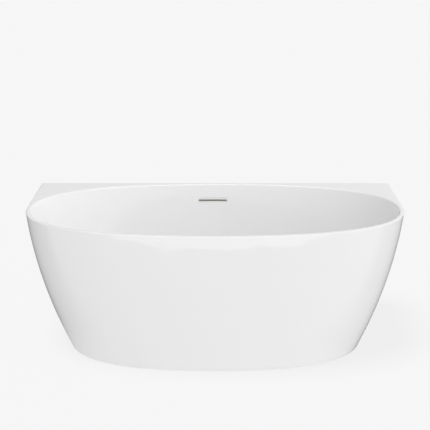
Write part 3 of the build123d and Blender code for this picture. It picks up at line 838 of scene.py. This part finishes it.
def grow(
    base: bpy.types.Object, tree: bpy.types.NodeTree, values: dict[str, object], sharp: float = 35.0
) -> None:
    """Runs a tree on an object and keeps the result as the object's plain mesh.

    Args:
        base: the object that the tree grows from.
        tree: the tree.
        values: a value for each of its named inputs.
        sharp: the angle in degrees past which an edge is drawn sharp.
    """
    modifier = base.modifiers.new(tree.name, "NODES")
    modifier.node_group = tree
    for item in tree.interface.items_tree:
        if item.in_out == "INPUT" and item.name in values:
            modifier[item.identifier] = values[item.name]
    bake_modifiers(base)
    base.data.shade_smooth()
    base.data.set_sharp_from_angle(angle=math.radians(sharp))


def point_cloud(name: str, points: Sequence[Sequence[float]], edges: Sequence[Sequence[int]] = (),
                turns: Sequence[Sequence[float]] = ()) -> bpy.types.Object:
    """Makes an object of bare points, in millimetres, for a tree to grow from.

    Args:
        name: the object's name.
        points: the points.
        edges: pairs of point numbers to join.
        turns: for each point, the Euler angles that a copy on it is turned by.

    Returns:
        The object, linked to the scene.
    """
    mesh = bpy.data.meshes.new(name)
    mesh.from_pydata([tuple(v * MM for v in p) for p in points], [tuple(e) for e in edges], [])
    if turns:
        store = mesh.attributes.new("turn", "FLOAT_VECTOR", "POINT")
        store.data.foreach_set("vector", [v for turn in turns for v in turn])
    piece = bpy.data.objects.new(name, mesh)
    bpy.context.scene.collection.objects.link(piece)
    return piece


def copies_tree() -> bpy.types.NodeTree:
    """Builds the tree that sets a copy of a shape on each point, turned as the point says."""
    tree, start = start_tree("copies_on_points", {"Shape": "Object"})
    shape = add_node(tree, "GeometryNodeObjectInfo", {"Object": start.outputs["Shape"]})
    turn = add_node(tree, "GeometryNodeInputNamedAttribute", {"Name": "turn"}, data_type="FLOAT_VECTOR")
    rotation = add_node(tree, "FunctionNodeEulerToRotation", {0: turn.outputs["Attribute"]})
    copies = add_node(
        tree,
        "GeometryNodeInstanceOnPoints",
        {
            "Points": start.outputs[0], "Instance": shape.outputs["Geometry"],
            "Rotation": rotation.outputs[0],
        },
    )
    return end_tree(tree, start, copies.outputs[0])


def ribs_tree() -> bpy.types.NodeTree:
    """Builds the tree that stands grip ribs round a turned nut, half sunk in its side."""
    inputs = {
        "Count": "Int", "Ring Radius": "Float", "Rib Radius": "Float", "Rib Length": "Float",
        "Middle": "Float",
    }
    tree, start = start_tree("grip_ribs", inputs)
    size = start.outputs
    ring = add_node(
        tree, "GeometryNodeMeshCircle", {"Vertices": size["Count"], "Radius": size["Ring Radius"]}
    )
    lift = add_node(tree, "ShaderNodeCombineXYZ", {2: size["Middle"]})
    moved = add_node(
        tree, "GeometryNodeTransform", {"Geometry": ring.outputs[0], "Translation": lift.outputs[0]}
    )
    rib = add_node(
        tree,
        "GeometryNodeMeshCylinder",
        {"Vertices": 10, "Side Segments": 1, "Radius": size["Rib Radius"], "Depth": size["Rib Length"]},
    )
    ribs = add_node(
        tree, "GeometryNodeInstanceOnPoints", {"Points": moved.outputs[0], "Instance": rib.outputs[0]}
    )
    both = add_node(tree, "GeometryNodeJoinGeometry", {0: ribs.outputs[0]})
    tree.links.new(size[0], both.inputs[0])
    return end_tree(tree, start, both.outputs[0])


def hose_tree() -> bpy.types.NodeTree:
    """Builds the tree that runs a corrugated hose along a path, with its corners rounded."""
    inputs = {"Bend": "Float", "Pitch": "Float", "Radius": "Float", "Depth": "Float"}
    tree, start = start_tree("corrugated_hose", inputs)
    size = start.outputs
    path = add_node(tree, "GeometryNodeMeshToCurve", {"Mesh": size[0]})
    bent = add_node(
        tree, "GeometryNodeFilletCurve", {
            "Curve": path.outputs[0], "Radius": size["Bend"], "Count": 24
        }, mode="POLY"
    )
    step = add_node(tree, "ShaderNodeMath", {0: size["Pitch"], 1: 8.0}, operation="DIVIDE")
    even = add_node(
        tree, "GeometryNodeResampleCurve", {
            "Curve": bent.outputs[0], "Length": step.outputs[0]
        }, mode="LENGTH"
    )
    run = add_node(tree, "GeometryNodeSplineParameter").outputs["Length"]
    rings = add_node(tree, "ShaderNodeMath", {0: run, 1: size["Pitch"]}, operation="DIVIDE")
    turns = add_node(tree, "ShaderNodeMath", {0: rings.outputs[0], 1: 2 * math.pi}, operation="MULTIPLY")
    wave = add_node(tree, "ShaderNodeMath", {0: turns.outputs[0]}, operation="COSINE")
    swell = add_node(
        tree, "ShaderNodeMapRange", {"Value": wave.outputs[0], 1: -0.7, 2: 0.7, 3: -1.0, 4: 0.0}
    )
    change = add_node(
        tree, "ShaderNodeMath", {
            0: swell.outputs[0], 1: size["Depth"], 2: size["Radius"]
        }, operation="MULTIPLY_ADD"
    )
    section = add_node(tree, "GeometryNodeCurvePrimitiveCircle", {"Resolution": 28, "Radius": 1.0})
    tube = add_node(
        tree,
        "GeometryNodeCurveToMesh",
        {
            "Curve": even.outputs[0], "Profile Curve": section.outputs[0], "Scale": change.outputs[0],
            "Fill Caps": True,
        },
    )
    return end_tree(tree, start, tube.outputs[0])


def bead_tree() -> bpy.types.NodeTree:
    """Builds the tree that lays a weld bead along each edge: overlapping drops of slightly uneven size."""
    tree, start = start_tree("weld_bead", {"Spacing": "Float", "Bead Radius": "Float"})
    size = start.outputs
    path = add_node(tree, "GeometryNodeMeshToCurve", {"Mesh": size[0]})
    even = add_node(
        tree, "GeometryNodeResampleCurve", {
            "Curve": path.outputs[0], "Length": size["Spacing"]
        }, mode="LENGTH"
    )
    along = add_node(tree, "GeometryNodeInputTangent")
    turn = add_node(tree, "FunctionNodeAlignRotationToVector", {"Vector": along.outputs[0]}, axis="X")
    drop = add_node(tree, "GeometryNodeMeshIcoSphere", {"Radius": size["Bead Radius"], "Subdivisions": 2})
    vary = add_node(tree, "FunctionNodeRandomValue", {2: 0.85, 3: 1.12, "Seed": 11}, data_type="FLOAT")
    flat = add_node(
        tree, "ShaderNodeVectorMath", {0: (0.62, 1.0, 1.0), "Scale": vary.outputs[1]}, operation="SCALE"
    )
    drops = add_node(
        tree,
        "GeometryNodeInstanceOnPoints",
        {
            "Points": even.outputs[0], "Instance": drop.outputs[0], "Rotation": turn.outputs[0],
            "Scale": flat.outputs[0],
        },
    )
    return end_tree(tree, start, drops.outputs[0])


# ---------------------------------------------------------------------------
# Fittings
# ---------------------------------------------------------------------------


@dataclass
class SlotTrim:
    """The moulded trim of the overflow slot: a sleeve through the wall with a soft thin lip on its face."""

    materials: Materials
    half_width: float = 64
    half_height: float = 4
    corner: float = 2
    x: float = -10
    z: float = 526
    sleeve: float = 1.8
    lip: float = 5
    lip_face: float = 1.1

    def loop(self, out: float) -> np.ndarray:
        """The opening's rounded outline, grown outwards, as x and z."""
        points = []
        for turn, (sx, sz) in enumerate(((1, 1), (-1, 1), (-1, -1), (1, -1))):
            for angle in np.linspace(turn, turn + 1, 7) * math.pi / 2:
                radius = self.corner + out
                points.append(
                    (
                        self.x + sx * (self.half_width - self.corner) + radius * math.cos(angle),
                        self.z + sz * (self.half_height - self.corner) + radius * math.sin(angle),
                    )
                )
            if turn in (0, 2):
                ends = points[-1], (2 * self.x - points[-1][0], points[-1][1])
                points += [tuple(np.add(
                    ends[0], np.subtract(ends[1], ends[0]) * s
                )) for s in np.linspace(0, 1, 14)[1:-1]]
        return np.array(points)

    @staticmethod
    def wall(x: float, z: float) -> float:
        """How far back the basin's wall is at a place."""
        ring = FORM.level(0, z)
        back = ring[ring[:, 1] > 0]
        order = np.argsort(back[:, 0])
        return float(np.interp(x, back[order, 0], back[order, 1]))

    def build(self) -> None:
        """Makes the trim as one closed loop of sections."""
        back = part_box("slot_trim")[1][1] / MM
        sections = (
            (
                0.0, None
            ), (0.0, -0.3), (0.25, -0.8), (0.8, -self.lip_face), (self.lip - 0.9, -self.lip_face * 0.9),
            (
                self.lip - 0.3, -0.7
            ), (self.lip, -0.2), (self.lip, 0.3), (self.sleeve, 0.4), (self.sleeve, None),
        )
        points = []
        for out, depth in sections:
            for x, z in self.loop(out):
                points.append((x, back if depth is None else self.wall(x, z) + depth, z))
        columns = len(self.loop(0))
        piece = make_mesh(
            "slot_lip", np.array(points) * MM, grid_faces(len(sections), columns, True, True), 50
        )
        dress(
            piece, self.materials.slots["white_polypropylene"], "white_polypropylene", Body.BATH.value,
            "slot_trim",
        )


@dataclass
class Waste:
    """The sprung plug's domed cap, and the trap's and hose's ribbed nuts."""

    materials: Materials
    rib: float = 1.6

    def build_cap(self) -> None:
        """Turns the plug's cap: a shallow polished dome with a soft edge."""
        low, high = (v[2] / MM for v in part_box("plug_cap"))
        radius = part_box("plug_cap")[1][0] / MM
        edge = [(radius - 1 + math.sin(a), low + 1 - math.cos(a)) for a in np.linspace(0, math.pi / 2, 6)]
        rise = high - low - 2
        dome = [
            (
                (radius - 0.6) * math.cos(a), low + 2 + rise * math.sin(a)
            ) for a in np.linspace(0.05, math.pi / 2, 18)[:-1]
        ]
        piece = lathe("plug_dome", [(0.0, low), *edge, (radius, low + 1.7), *dome, (0.0, high)], 96)
        dress(piece, self.materials.slots["chrome"], "chrome", Body.PLUG.value, "plug_cap")

    def build_nut(self, node: str, body: Body, sizes: tuple[float, ...], place: Matrix, count: int) -> None:
        """Turns one nut and stands grip ribs round it.

        Args:
            node: the CAD node that it stands for.
            body: what it rides on.
            sizes: its outer radius, the bore at its low end, the bore above it, where the bore changes,
                and its ends.
            place: where its axis stands.
            count: how many ribs it has.
        """
        radius, tight, bore, shelf, low, high = sizes
        side = radius - self.rib * 0.6
        profile = [
            (
                tight, low
            ), (side - 1.5, low), (side, low + 1.5), (side, high - 1.5), (side - 1.5, high), (bore, high),
            (bore, shelf), (tight, shelf),
        ]
        piece = lathe(node + "_ribbed", profile, 80)
        values = {
            "Count": count, "Ring Radius": (radius - self.rib) * MM, "Rib Radius": self.rib * MM,
            "Rib Length": (high - low - 5) * MM, "Middle": (high + low) / 2 * MM,
            "Material": self.materials.slots["white_polypropylene"],
        }
        grow(piece, ribs_tree(), values)
        piece.data.transform(place)
        dress(piece, self.materials.slots["white_polypropylene"], "white_polypropylene", body.value, node)

    def build(self) -> None:
        """Makes the cap and the four nuts."""
        self.build_cap()
        upright = Matrix.Identity(4)
        self.build_nut("trap_union_nut", Body.BATH, (30, 19.4, 23.4, 64.1, 60.1, 82.5), upright, 30)
        turned = Matrix.Translation((0, 0, 35 * MM)) @ Matrix.Rotation(math.pi / 2, 4, "X")
        self.build_nut("trap_outlet_nut", Body.TRAP, (26, 20, 22.5, -88, -92, -64), turned, 26)
        heading = level_axis(OVERFLOW_HOSE.heading, OVERFLOW_HOSE.level)
        self.build_nut("hose_nut_lower", Body.BATH, (17.5, 11, 14, 36, 32, 52), heading, 20)
        upper = Matrix.Translation((OVERFLOW_HOSE.x * MM, OVERFLOW_HOSE.y * MM, 0))
        self.build_nut("hose_nut_upper", Body.BATH, (17.5, 11, 14, 451, 455, 435), upper, 20)


@dataclass
class Hose:
    """The overflow's corrugated hose, from the waste to the box behind the slot."""

    x: float = -55
    y: float = 354.5
    level: float = 104
    start: float = 36
    top: float = 451
    bend: float = 70
    pitch: float = 5.2
    radius: float = 14
    depth: float = 1.7

    @property
    def heading(self) -> float:
        """The heading of its level run, in degrees from +X."""
        return math.degrees(math.atan2(self.y, self.x))

    def build(self, materials: Materials) -> None:
        """Grows the hose along its path."""
        reach = self.start / math.hypot(self.x, self.y)
        path = [
            (self.x * reach, self.y * reach, self.level), (self.x, self.y, self.level),
            (self.x, self.y, self.top),
        ]
        piece = point_cloud("hose_corrugated", path, [(0, 1), (1, 2)])
        values = {
            "Bend": self.bend * MM, "Pitch": self.pitch * MM, "Radius": self.radius * MM,
            "Depth": self.depth * MM,
            "Material": materials.slots["grey_hose"],
        }
        grow(piece, hose_tree(), values, 60)
        dress(piece, materials.slots["grey_hose"], "grey_hose", Body.BATH.value, "overflow_hose")


OVERFLOW_HOSE = Hose()


@dataclass
class Cradle:
    """The steel cradle's screws and weld beads."""

    materials: Materials
    rail_y: float = 115
    cross_x: float = 360
    rail_half: float = 12.5
    deck: float = 121  # the level where the rails cross
    under: float = 96
    top: float = 146
    shank: float = 35
    bead: float = 2.0

    @staticmethod
    def screw(name: str, length: float) -> bpy.types.Object:
        """Turns a pan-head screw, head down with its seat at the origin, and cuts its cross recess."""
        head = [(0.0, -3.0), (2.6, -3.0), (4.0, -2.6), (4.8, -1.7), (5.0, -0.6), (4.9, 0.0), (2.2, 0.0)]
        turns = int((length - 2) / 1.5)
        thread = [(r, 1 + 1.5 * n + s) for n in range(turns) for r, s in ((1.8, 0.0), (2.4, 0.75))]
        piece = lathe(name, [*head, *thread, (1.2, length - 0.6), (0.0, length)], 24)
        for turn in (0.0, math.pi / 2):
            slot = [(
                x, y, z
            ) for z in (-3.2, -1.3) for x, y in ((-2.4, -0.5), (2.4, -0.5), (2.4, 0.5), (-2.4, 0.5))]
            faces = grid_faces(2, 4, False, True) + [[0, 1, 2, 3], [4, 5, 6, 7]]
            cutter = make_mesh("recess_cutter", np.array(slot) * MM, faces)
            cutter.data.transform(Matrix.Rotation(turn, 4, "Z"))
            cut_out(piece, cutter)
        return piece

    def set_screws(
        self, node: str, length: float, places: Sequence[Sequence[float]], down: Sequence[bool]
    ) -> None:
        """Sets a screw at each place, with its head below or above.

        Args:
            node: the CAD node that they stand for.
            length: the shank's length.
            places: where the head seats.
            down: for each, whether it is driven downwards.
        """
        turns = [(math.pi if d else 0.0, 0.0, 0.4 * n) for n, d in enumerate(down)]
        template = self.screw(node + "_template", length)
        piece = point_cloud(node + "_pan_head", places, turns=turns)
        material = self.materials.slots["zinc_plated_steel"]
        grow(piece, copies_tree(), {"Shape": template, "Material": material})
        bpy.data.objects.remove(template)
        dress(piece, material, "zinc_plated_steel", Body.BATH.value, node)

    def build_screws(self) -> None:
        """Sets all the screws."""
        sides = (-self.rail_y, self.rail_y)
        board = [(x, y, self.deck) for x in (-270, -90, 90, 270) for y in sides]
        self.set_screws("board_screws", self.shank, board, [False] * len(board))
        front = [(x, y, self.under) for x in (-self.cross_x, self.cross_x) for y in (-268.5, -246.5)]
        ends = [(x, y, self.top) for x in (-600.5, -578.5, 578.5, 600.5) for y in sides]
        self.set_screws("block_screws", self.shank, front + ends, [False] * len(front) + [True] * len(ends))
        low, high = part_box("clip_screw")
        middle = (low[0] + high[0]) / 2 / MM, (low[1] + high[1]) / 2 / MM, low[2] / MM + 3
        self.set_screws("clip_screw", high[2] / MM - middle[2], [middle], [False])

    def build_welds(self) -> None:
        """Lays beads round the four places where the rails cross, and round each weld nut."""
        points, edges = [], []
        reach = self.rail_half - 2
        for x in (-self.cross_x, self.cross_x):
            for y in (-self.rail_y, self.rail_y):
                for side in (-1, 1):
                    for start, end in (
                        ((side * self.rail_half, -reach), (side * self.rail_half, reach)),
                        ((-reach, side * self.rail_half), (reach, side * self.rail_half)),
                    ):
                        edges.append((len(points), len(points) + 1))
                        points += [
                            (x + start[0], y + start[1], self.deck), (x + end[0], y + end[1], self.deck)
                        ]
        for name in LEGS:
            low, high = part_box("leg_stud_" + name)
            x, y = (low[0] + high[0]) / 2 / MM, (low[1] + high[1]) / 2 / MM
            under = self.under if abs(x) > 1 else self.deck
            for corner in range(6):
                ends = [math.radians(30 + 60 * (corner + step)) for step in (0, 1)]
                edges.append((len(points), len(points) + 1))
                points += [(x + 10.0 * math.cos(a), y + 10.0 * math.sin(a), under - 0.3) for a in ends]
        piece = point_cloud("cradle_welds", points, edges)
        grow(
            piece, bead_tree(),
            {"Spacing": 1.7 * MM, "Bead Radius": self.bead * MM, "Material": self.materials.weld},
        )
        dress(piece, self.materials.weld, "galvanised_steel", Body.BATH.value)

    def build(self) -> None:
        """Makes the screws and the welds."""
        self.build_screws()
        self.build_welds()


@dataclass
class Leg:
    """One levelling leg: a threaded stud in a nylon pad with grip ribs."""

    materials: Materials
    name: str
    pitch: float = 1.75
    root: float = 1.0
    steps: int = 5
    segments: int = 20

    def build_stud(self) -> None:
        """Makes the stud with a real helical thread."""
        low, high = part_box("leg_stud_" + self.name)
        x, y, radius = (low[0] + high[0]) / 2, (low[1] + high[1]) / 2, (high[0] - low[0]) / 2 / MM
        bottom, top = low[2] / MM, high[2] / MM
        rows = int((top - bottom) / self.pitch * self.steps) + 1
        heights = np.linspace(bottom, top, rows)
        angles = np.arange(self.segments) * 2 * math.pi / self.segments
        phase = (heights[:, None] / self.pitch - angles[None, :] / (2 * math.pi)) % 1.0
        depth = self.root * np.clip(1.25 - 2.5 * np.abs(phase - 0.5), 0, 1)
        near_end = np.minimum(heights - bottom, top - heights)[:, None]
        radii = np.minimum(radius - depth, radius - 1 + near_end)
        grid = np.stack(
            [
                radii * np.cos(angles), radii * np.sin(angles),
                np.broadcast_to(heights[:, None], radii.shape),
            ],
            2,
        )
        points = grid.reshape(-1, 3) * MM + (x, y, 0)
        count = self.segments
        caps = [list(range(count)), list(range((rows - 1) * count, rows * count))]
        piece = make_mesh("stud_" + self.name, points, grid_faces(rows, count, False, True) + caps, 28)
        zinc = self.materials.slots["zinc_plated_steel"]
        dress(piece, zinc, "zinc_plated_steel", "leg_" + self.name, "leg_stud_" + self.name)

    def build_pad(self) -> None:
        """Makes the pad: a soft-edged foot with ribs to turn it by, and a boss round the stud."""
        low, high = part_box("leg_pad_" + self.name)
        x, y, radius = (low[0] + high[0]) / 2, (low[1] + high[1]) / 2, (high[0] - low[0]) / 2 / MM
        top = high[2] / MM
        body = top - 8
        profile = [
            (0.0, 0.0), (
                radius - 2.0, 0.0
            ), (radius - 1.0, 0.8), (radius - 1.0, body - 4), (radius - 2.2, body - 1.4),
            (
                radius - 4.5, body - 0.2
            ), (12.5, body), (11.3, body + 0.6), (11.0, body + 1.6), (10.6, top - 0.5),
            (10.1, top), (6.05, top), (6.05, 6.0), (0.0, 6.0),
        ]
        piece = lathe("pad_" + self.name, profile, 64)
        nylon = self.materials.slots["black_nylon"]
        values = {
            "Count": 28, "Ring Radius": (radius - 1.4) * MM, "Rib Radius": 1.4 * MM,
            "Rib Length": (body - 5) * MM, "Middle": (body - 3) / 2 * MM, "Material": nylon,
        }
        grow(piece, ribs_tree(), values)
        piece.data.transform(Matrix.Translation((x, y, 0)))
        dress(piece, nylon, "black_nylon", "leg_" + self.name, "leg_pad_" + self.name)

    def build(self) -> None:
        """Makes the leg."""
        self.build_stud()
        self.build_pad()


# ---------------------------------------------------------------------------
# Studio
# ---------------------------------------------------------------------------


@dataclass
class Studio:
    """A pale paper floor, a bright tent of light that falls off to the left, a high lamp, and the camera.

    The floor isn't a real one: to shiny things alone it is painted darker beside and behind the bath and
    brighter in front, which paints dark outlines and a bright band on the bath as reflections.
    """

    camera_place: tuple[float, float, float] = (0.0, -3.844, 1.828)
    camera_pitch: float = 18.16
    lens: float = 79.4
    paper_colour: str = "f7f7f7"
    tent_level: float = 0.95
    bounce: float = 0.80  # how bright the paper is to the bath
    reflection_wander: float = 0.8  # how far the edge of the painted bright reflection in front wanders, in metres
    lamp_strength: float = 10
    lamp_spread: float = 22
    lamp_way: tuple[float, float, float] = (-0.22, -0.06, 1.0)
    # how much brighter the tent is along X, Y and Z
    tent_slope: tuple[float, float, float] = (0.42, -0.24, 0.0)
    # where the paper is painted dark to shiny things only, a painted reflection that draws the bath's
    # outlines, from a first to a last place in metres
    dark_left: tuple[float, float] = (-0.5, -0.8)
    dark_right: tuple[float, float] = (0.45, 0.62)
    dark_behind: tuple[float, float] = (-0.5, -0.25)
    dark_level: float = 0.05
    # where the painted bright reflection in front begins, and how bright the paper is to shiny things up to
    # there and past it
    reflection_band_front: tuple[float, float] = (-1.36, -1.40)
    reflection_band_levels: tuple[float, float] = (0.93, 2.3)
    paper_share: float = 0.02  # how much of the light on it the paper sends back
    paper_glow: float = 0.905

    def build_camera(self) -> None:
        """Sets the camera, a little above the rim and square to the bath."""
        camera = bpy.data.cameras.new("camera")
        camera.lens = self.lens
        camera.sensor_width = 36
        camera.clip_end = 200
        eye = bpy.data.objects.new("camera", camera)
        eye.location = self.camera_place
        eye.rotation_euler = (math.radians(90 - self.camera_pitch), 0, 0)
        bpy.context.scene.collection.objects.link(eye)
        bpy.context.scene.camera = eye

    def paper(self) -> bpy.types.Material:
        """Makes the floor's material: pale paper lit mostly from beneath, so that shadows on it stay faint.

        To shiny things alone the paper is painted dark beside and behind the bath, a painted reflection that
        draws their outlines, and brighter in a wavering band in front, a painted reflection on the skirt's
        upper front.

        Returns:
            The material.
        """
        material = bpy.data.materials.new("studio_paper")
        material.use_nodes = True
        tree = material.node_tree
        tree.nodes.clear()
        full = linear(self.paper_colour)
        share = self.paper_share
        diffuse = add_node(tree, "ShaderNodeBsdfDiffuse", {"Color": (share, share, share, 1)})
        glow = add_node(tree, "ShaderNodeEmission", {"Color": full, "Strength": self.paper_glow})
        lit = add_node(tree, "ShaderNodeAddShader", {0: diffuse.outputs[0], 1: glow.outputs[0]})
        place = add_node(tree, "ShaderNodeTexCoord").outputs["Object"]
        parts = add_node(tree, "ShaderNodeSeparateXYZ", {0: place}).outputs

        def rise(
            value: bpy.types.NodeSocket, ends: Sequence[float], levels: Sequence[float] = (0.0, 1.0)
        ) -> bpy.types.NodeSocket:
            """Goes from the first level to the second between two places."""
            inputs = {"Value": value, 1: ends[0], 2: ends[1], 3: levels[0], 4: levels[1]}
            return add_node(tree, "ShaderNodeMapRange", inputs).outputs[0]

        def combine(operation: str, *values: bpy.types.NodeSocket | float) -> bpy.types.NodeSocket:
            """Does one sum with two or three values."""
            return add_node(tree, "ShaderNodeMath", dict(enumerate(values)), operation=operation).outputs[0]

        # painted reflection: to shiny things the paper goes dark beside and behind the bath, which draws dark
        # outlines on it
        aside = combine("MAXIMUM", rise(parts[0], self.dark_left), rise(parts[0], self.dark_right))
        dark = combine("MULTIPLY", aside, rise(parts[1], self.dark_behind))
        # painted reflection: to shiny things the paper turns brighter in a wavering band in front, which
        # shows on the skirt's upper front
        reflection_wobble = add_node(tree, "ShaderNodeTexNoise", {"Vector": place, "Scale": 2.6, "Detail": 3.0})
        edge = combine("MULTIPLY_ADD", reflection_wobble.outputs[0], self.reflection_wander, parts[1])
        front = rise(edge, self.reflection_band_front, self.reflection_band_levels)
        keep = add_node(tree, "ShaderNodeMapRange", {"Value": dark, 3: front, 4: self.dark_level})
        rays = add_node(tree, "ShaderNodeLightPath").outputs
        shown = add_node(
            tree, "ShaderNodeMapRange", {"Value": rays["Is Glossy Ray"], 3: self.bounce, 4: keep.outputs[0]}
        )
        seen = add_node(tree, "ShaderNodeEmission", {"Color": (1, 1, 1, 1), "Strength": shown.outputs[0]})
        both = add_node(
            tree, "ShaderNodeMixShader", {0: rays["Is Camera Ray"], 1: seen.outputs[0], 2: lit.outputs[0]}
        )
        add_node(tree, "ShaderNodeOutputMaterial", {"Surface": both.outputs[0]})
        return material

    def build_floor(self) -> bpy.types.Object:
        """Lays a wide plain pale floor.

        Returns:
            The floor.
        """
        half = 60
        mesh = bpy.data.meshes.new("studio_floor")
        mesh.from_pydata(
            [(-half, -half, 0), (half, -half, 0), (half, half, 0), (-half, half, 0)], [], [(0, 1, 2, 3)]
        )
        floor = bpy.data.objects.new("studio_floor", mesh)
        bpy.context.scene.collection.objects.link(floor)
        mesh.materials.append(self.paper())
        return floor

    def build_tent(self) -> None:
        """Surrounds the bath with light that is brightest on the right and in front."""
        world = bpy.data.worlds.new("studio_tent")
        world.use_nodes = True
        tree = world.node_tree
        tree.nodes.clear()
        way = add_node(tree, "ShaderNodeTexCoord").outputs["Generated"]
        slope = add_node(
            tree, "ShaderNodeVectorMath", {0: way, 1: self.tent_slope}, operation="DOT_PRODUCT"
        )
        level = add_node(
            tree, "ShaderNodeMath", {0: slope.outputs["Value"], 1: self.tent_level}, operation="ADD"
        )
        above = add_node(
            tree, "ShaderNodeVectorMath", {0: way, 1: (-0.1, -0.1, 0.99)}, operation="DOT_PRODUCT"
        )
        patch = add_node(
            tree, "ShaderNodeMapRange", {"Value": above.outputs["Value"], 1: 0.88, 2: 0.96, 3: 0.0, 4: 4.0}
        )
        ray = add_node(tree, "ShaderNodeLightPath").outputs["Is Glossy Ray"]
        total = add_node(
            tree, "ShaderNodeMath", {
                0: patch.outputs[0], 1: ray, 2: level.outputs[0]
            }, operation="MULTIPLY_ADD"
        )
        tint = add_node(tree, "ShaderNodeBackground", {"Color": (1, 1, 1, 1), "Strength": total.outputs[0]})
        add_node(tree, "ShaderNodeOutputWorld", {"Surface": tint.outputs[0]})
        bpy.context.scene.world = world

    def build_lamp(self, floor: bpy.types.Object) -> None:
        """Hangs a high lamp that only the floor sees, so that the overhang's shadow falls on the right."""
        lamp = bpy.data.lights.new("floor_lamp", "SUN")
        lamp.energy = self.lamp_strength
        lamp.angle = math.radians(self.lamp_spread)
        thing = bpy.data.objects.new("floor_lamp", lamp)
        thing.rotation_euler = Vector(self.lamp_way).to_track_quat("Z", "Y").to_euler()
        bpy.context.scene.collection.objects.link(thing)
        group = bpy.data.collections.new("floor_lamp_receivers")
        group.objects.link(floor)
        thing.light_linking.receiver_collection = group

    def build(self) -> None:
        """Makes the camera, floor and light, and shows colours as they are."""
        self.build_camera()
        floor = self.build_floor()
        self.build_tent()
        self.build_lamp(floor)
        bpy.context.scene.view_settings.view_transform = "Standard"


def main() -> None:
    """Builds the bath, piece by piece, and its studio."""
    logging.basicConfig(level=logging.INFO, format="%(name)s: %(message)s")
    materials = Materials.build()
    materials.dress_frame()
    Studio().build()
    shell = Shell(materials)
    shell.build_shell()
    shell.build_backing()
    Skirt(materials).build()
    SlotTrim(materials).build()
    Waste(materials).build()
    OVERFLOW_HOSE.build(materials)
    Cradle(materials).build()
    for name in LEGS:
        Leg(materials, name).build()


if __name__ == "__main__":
    main()
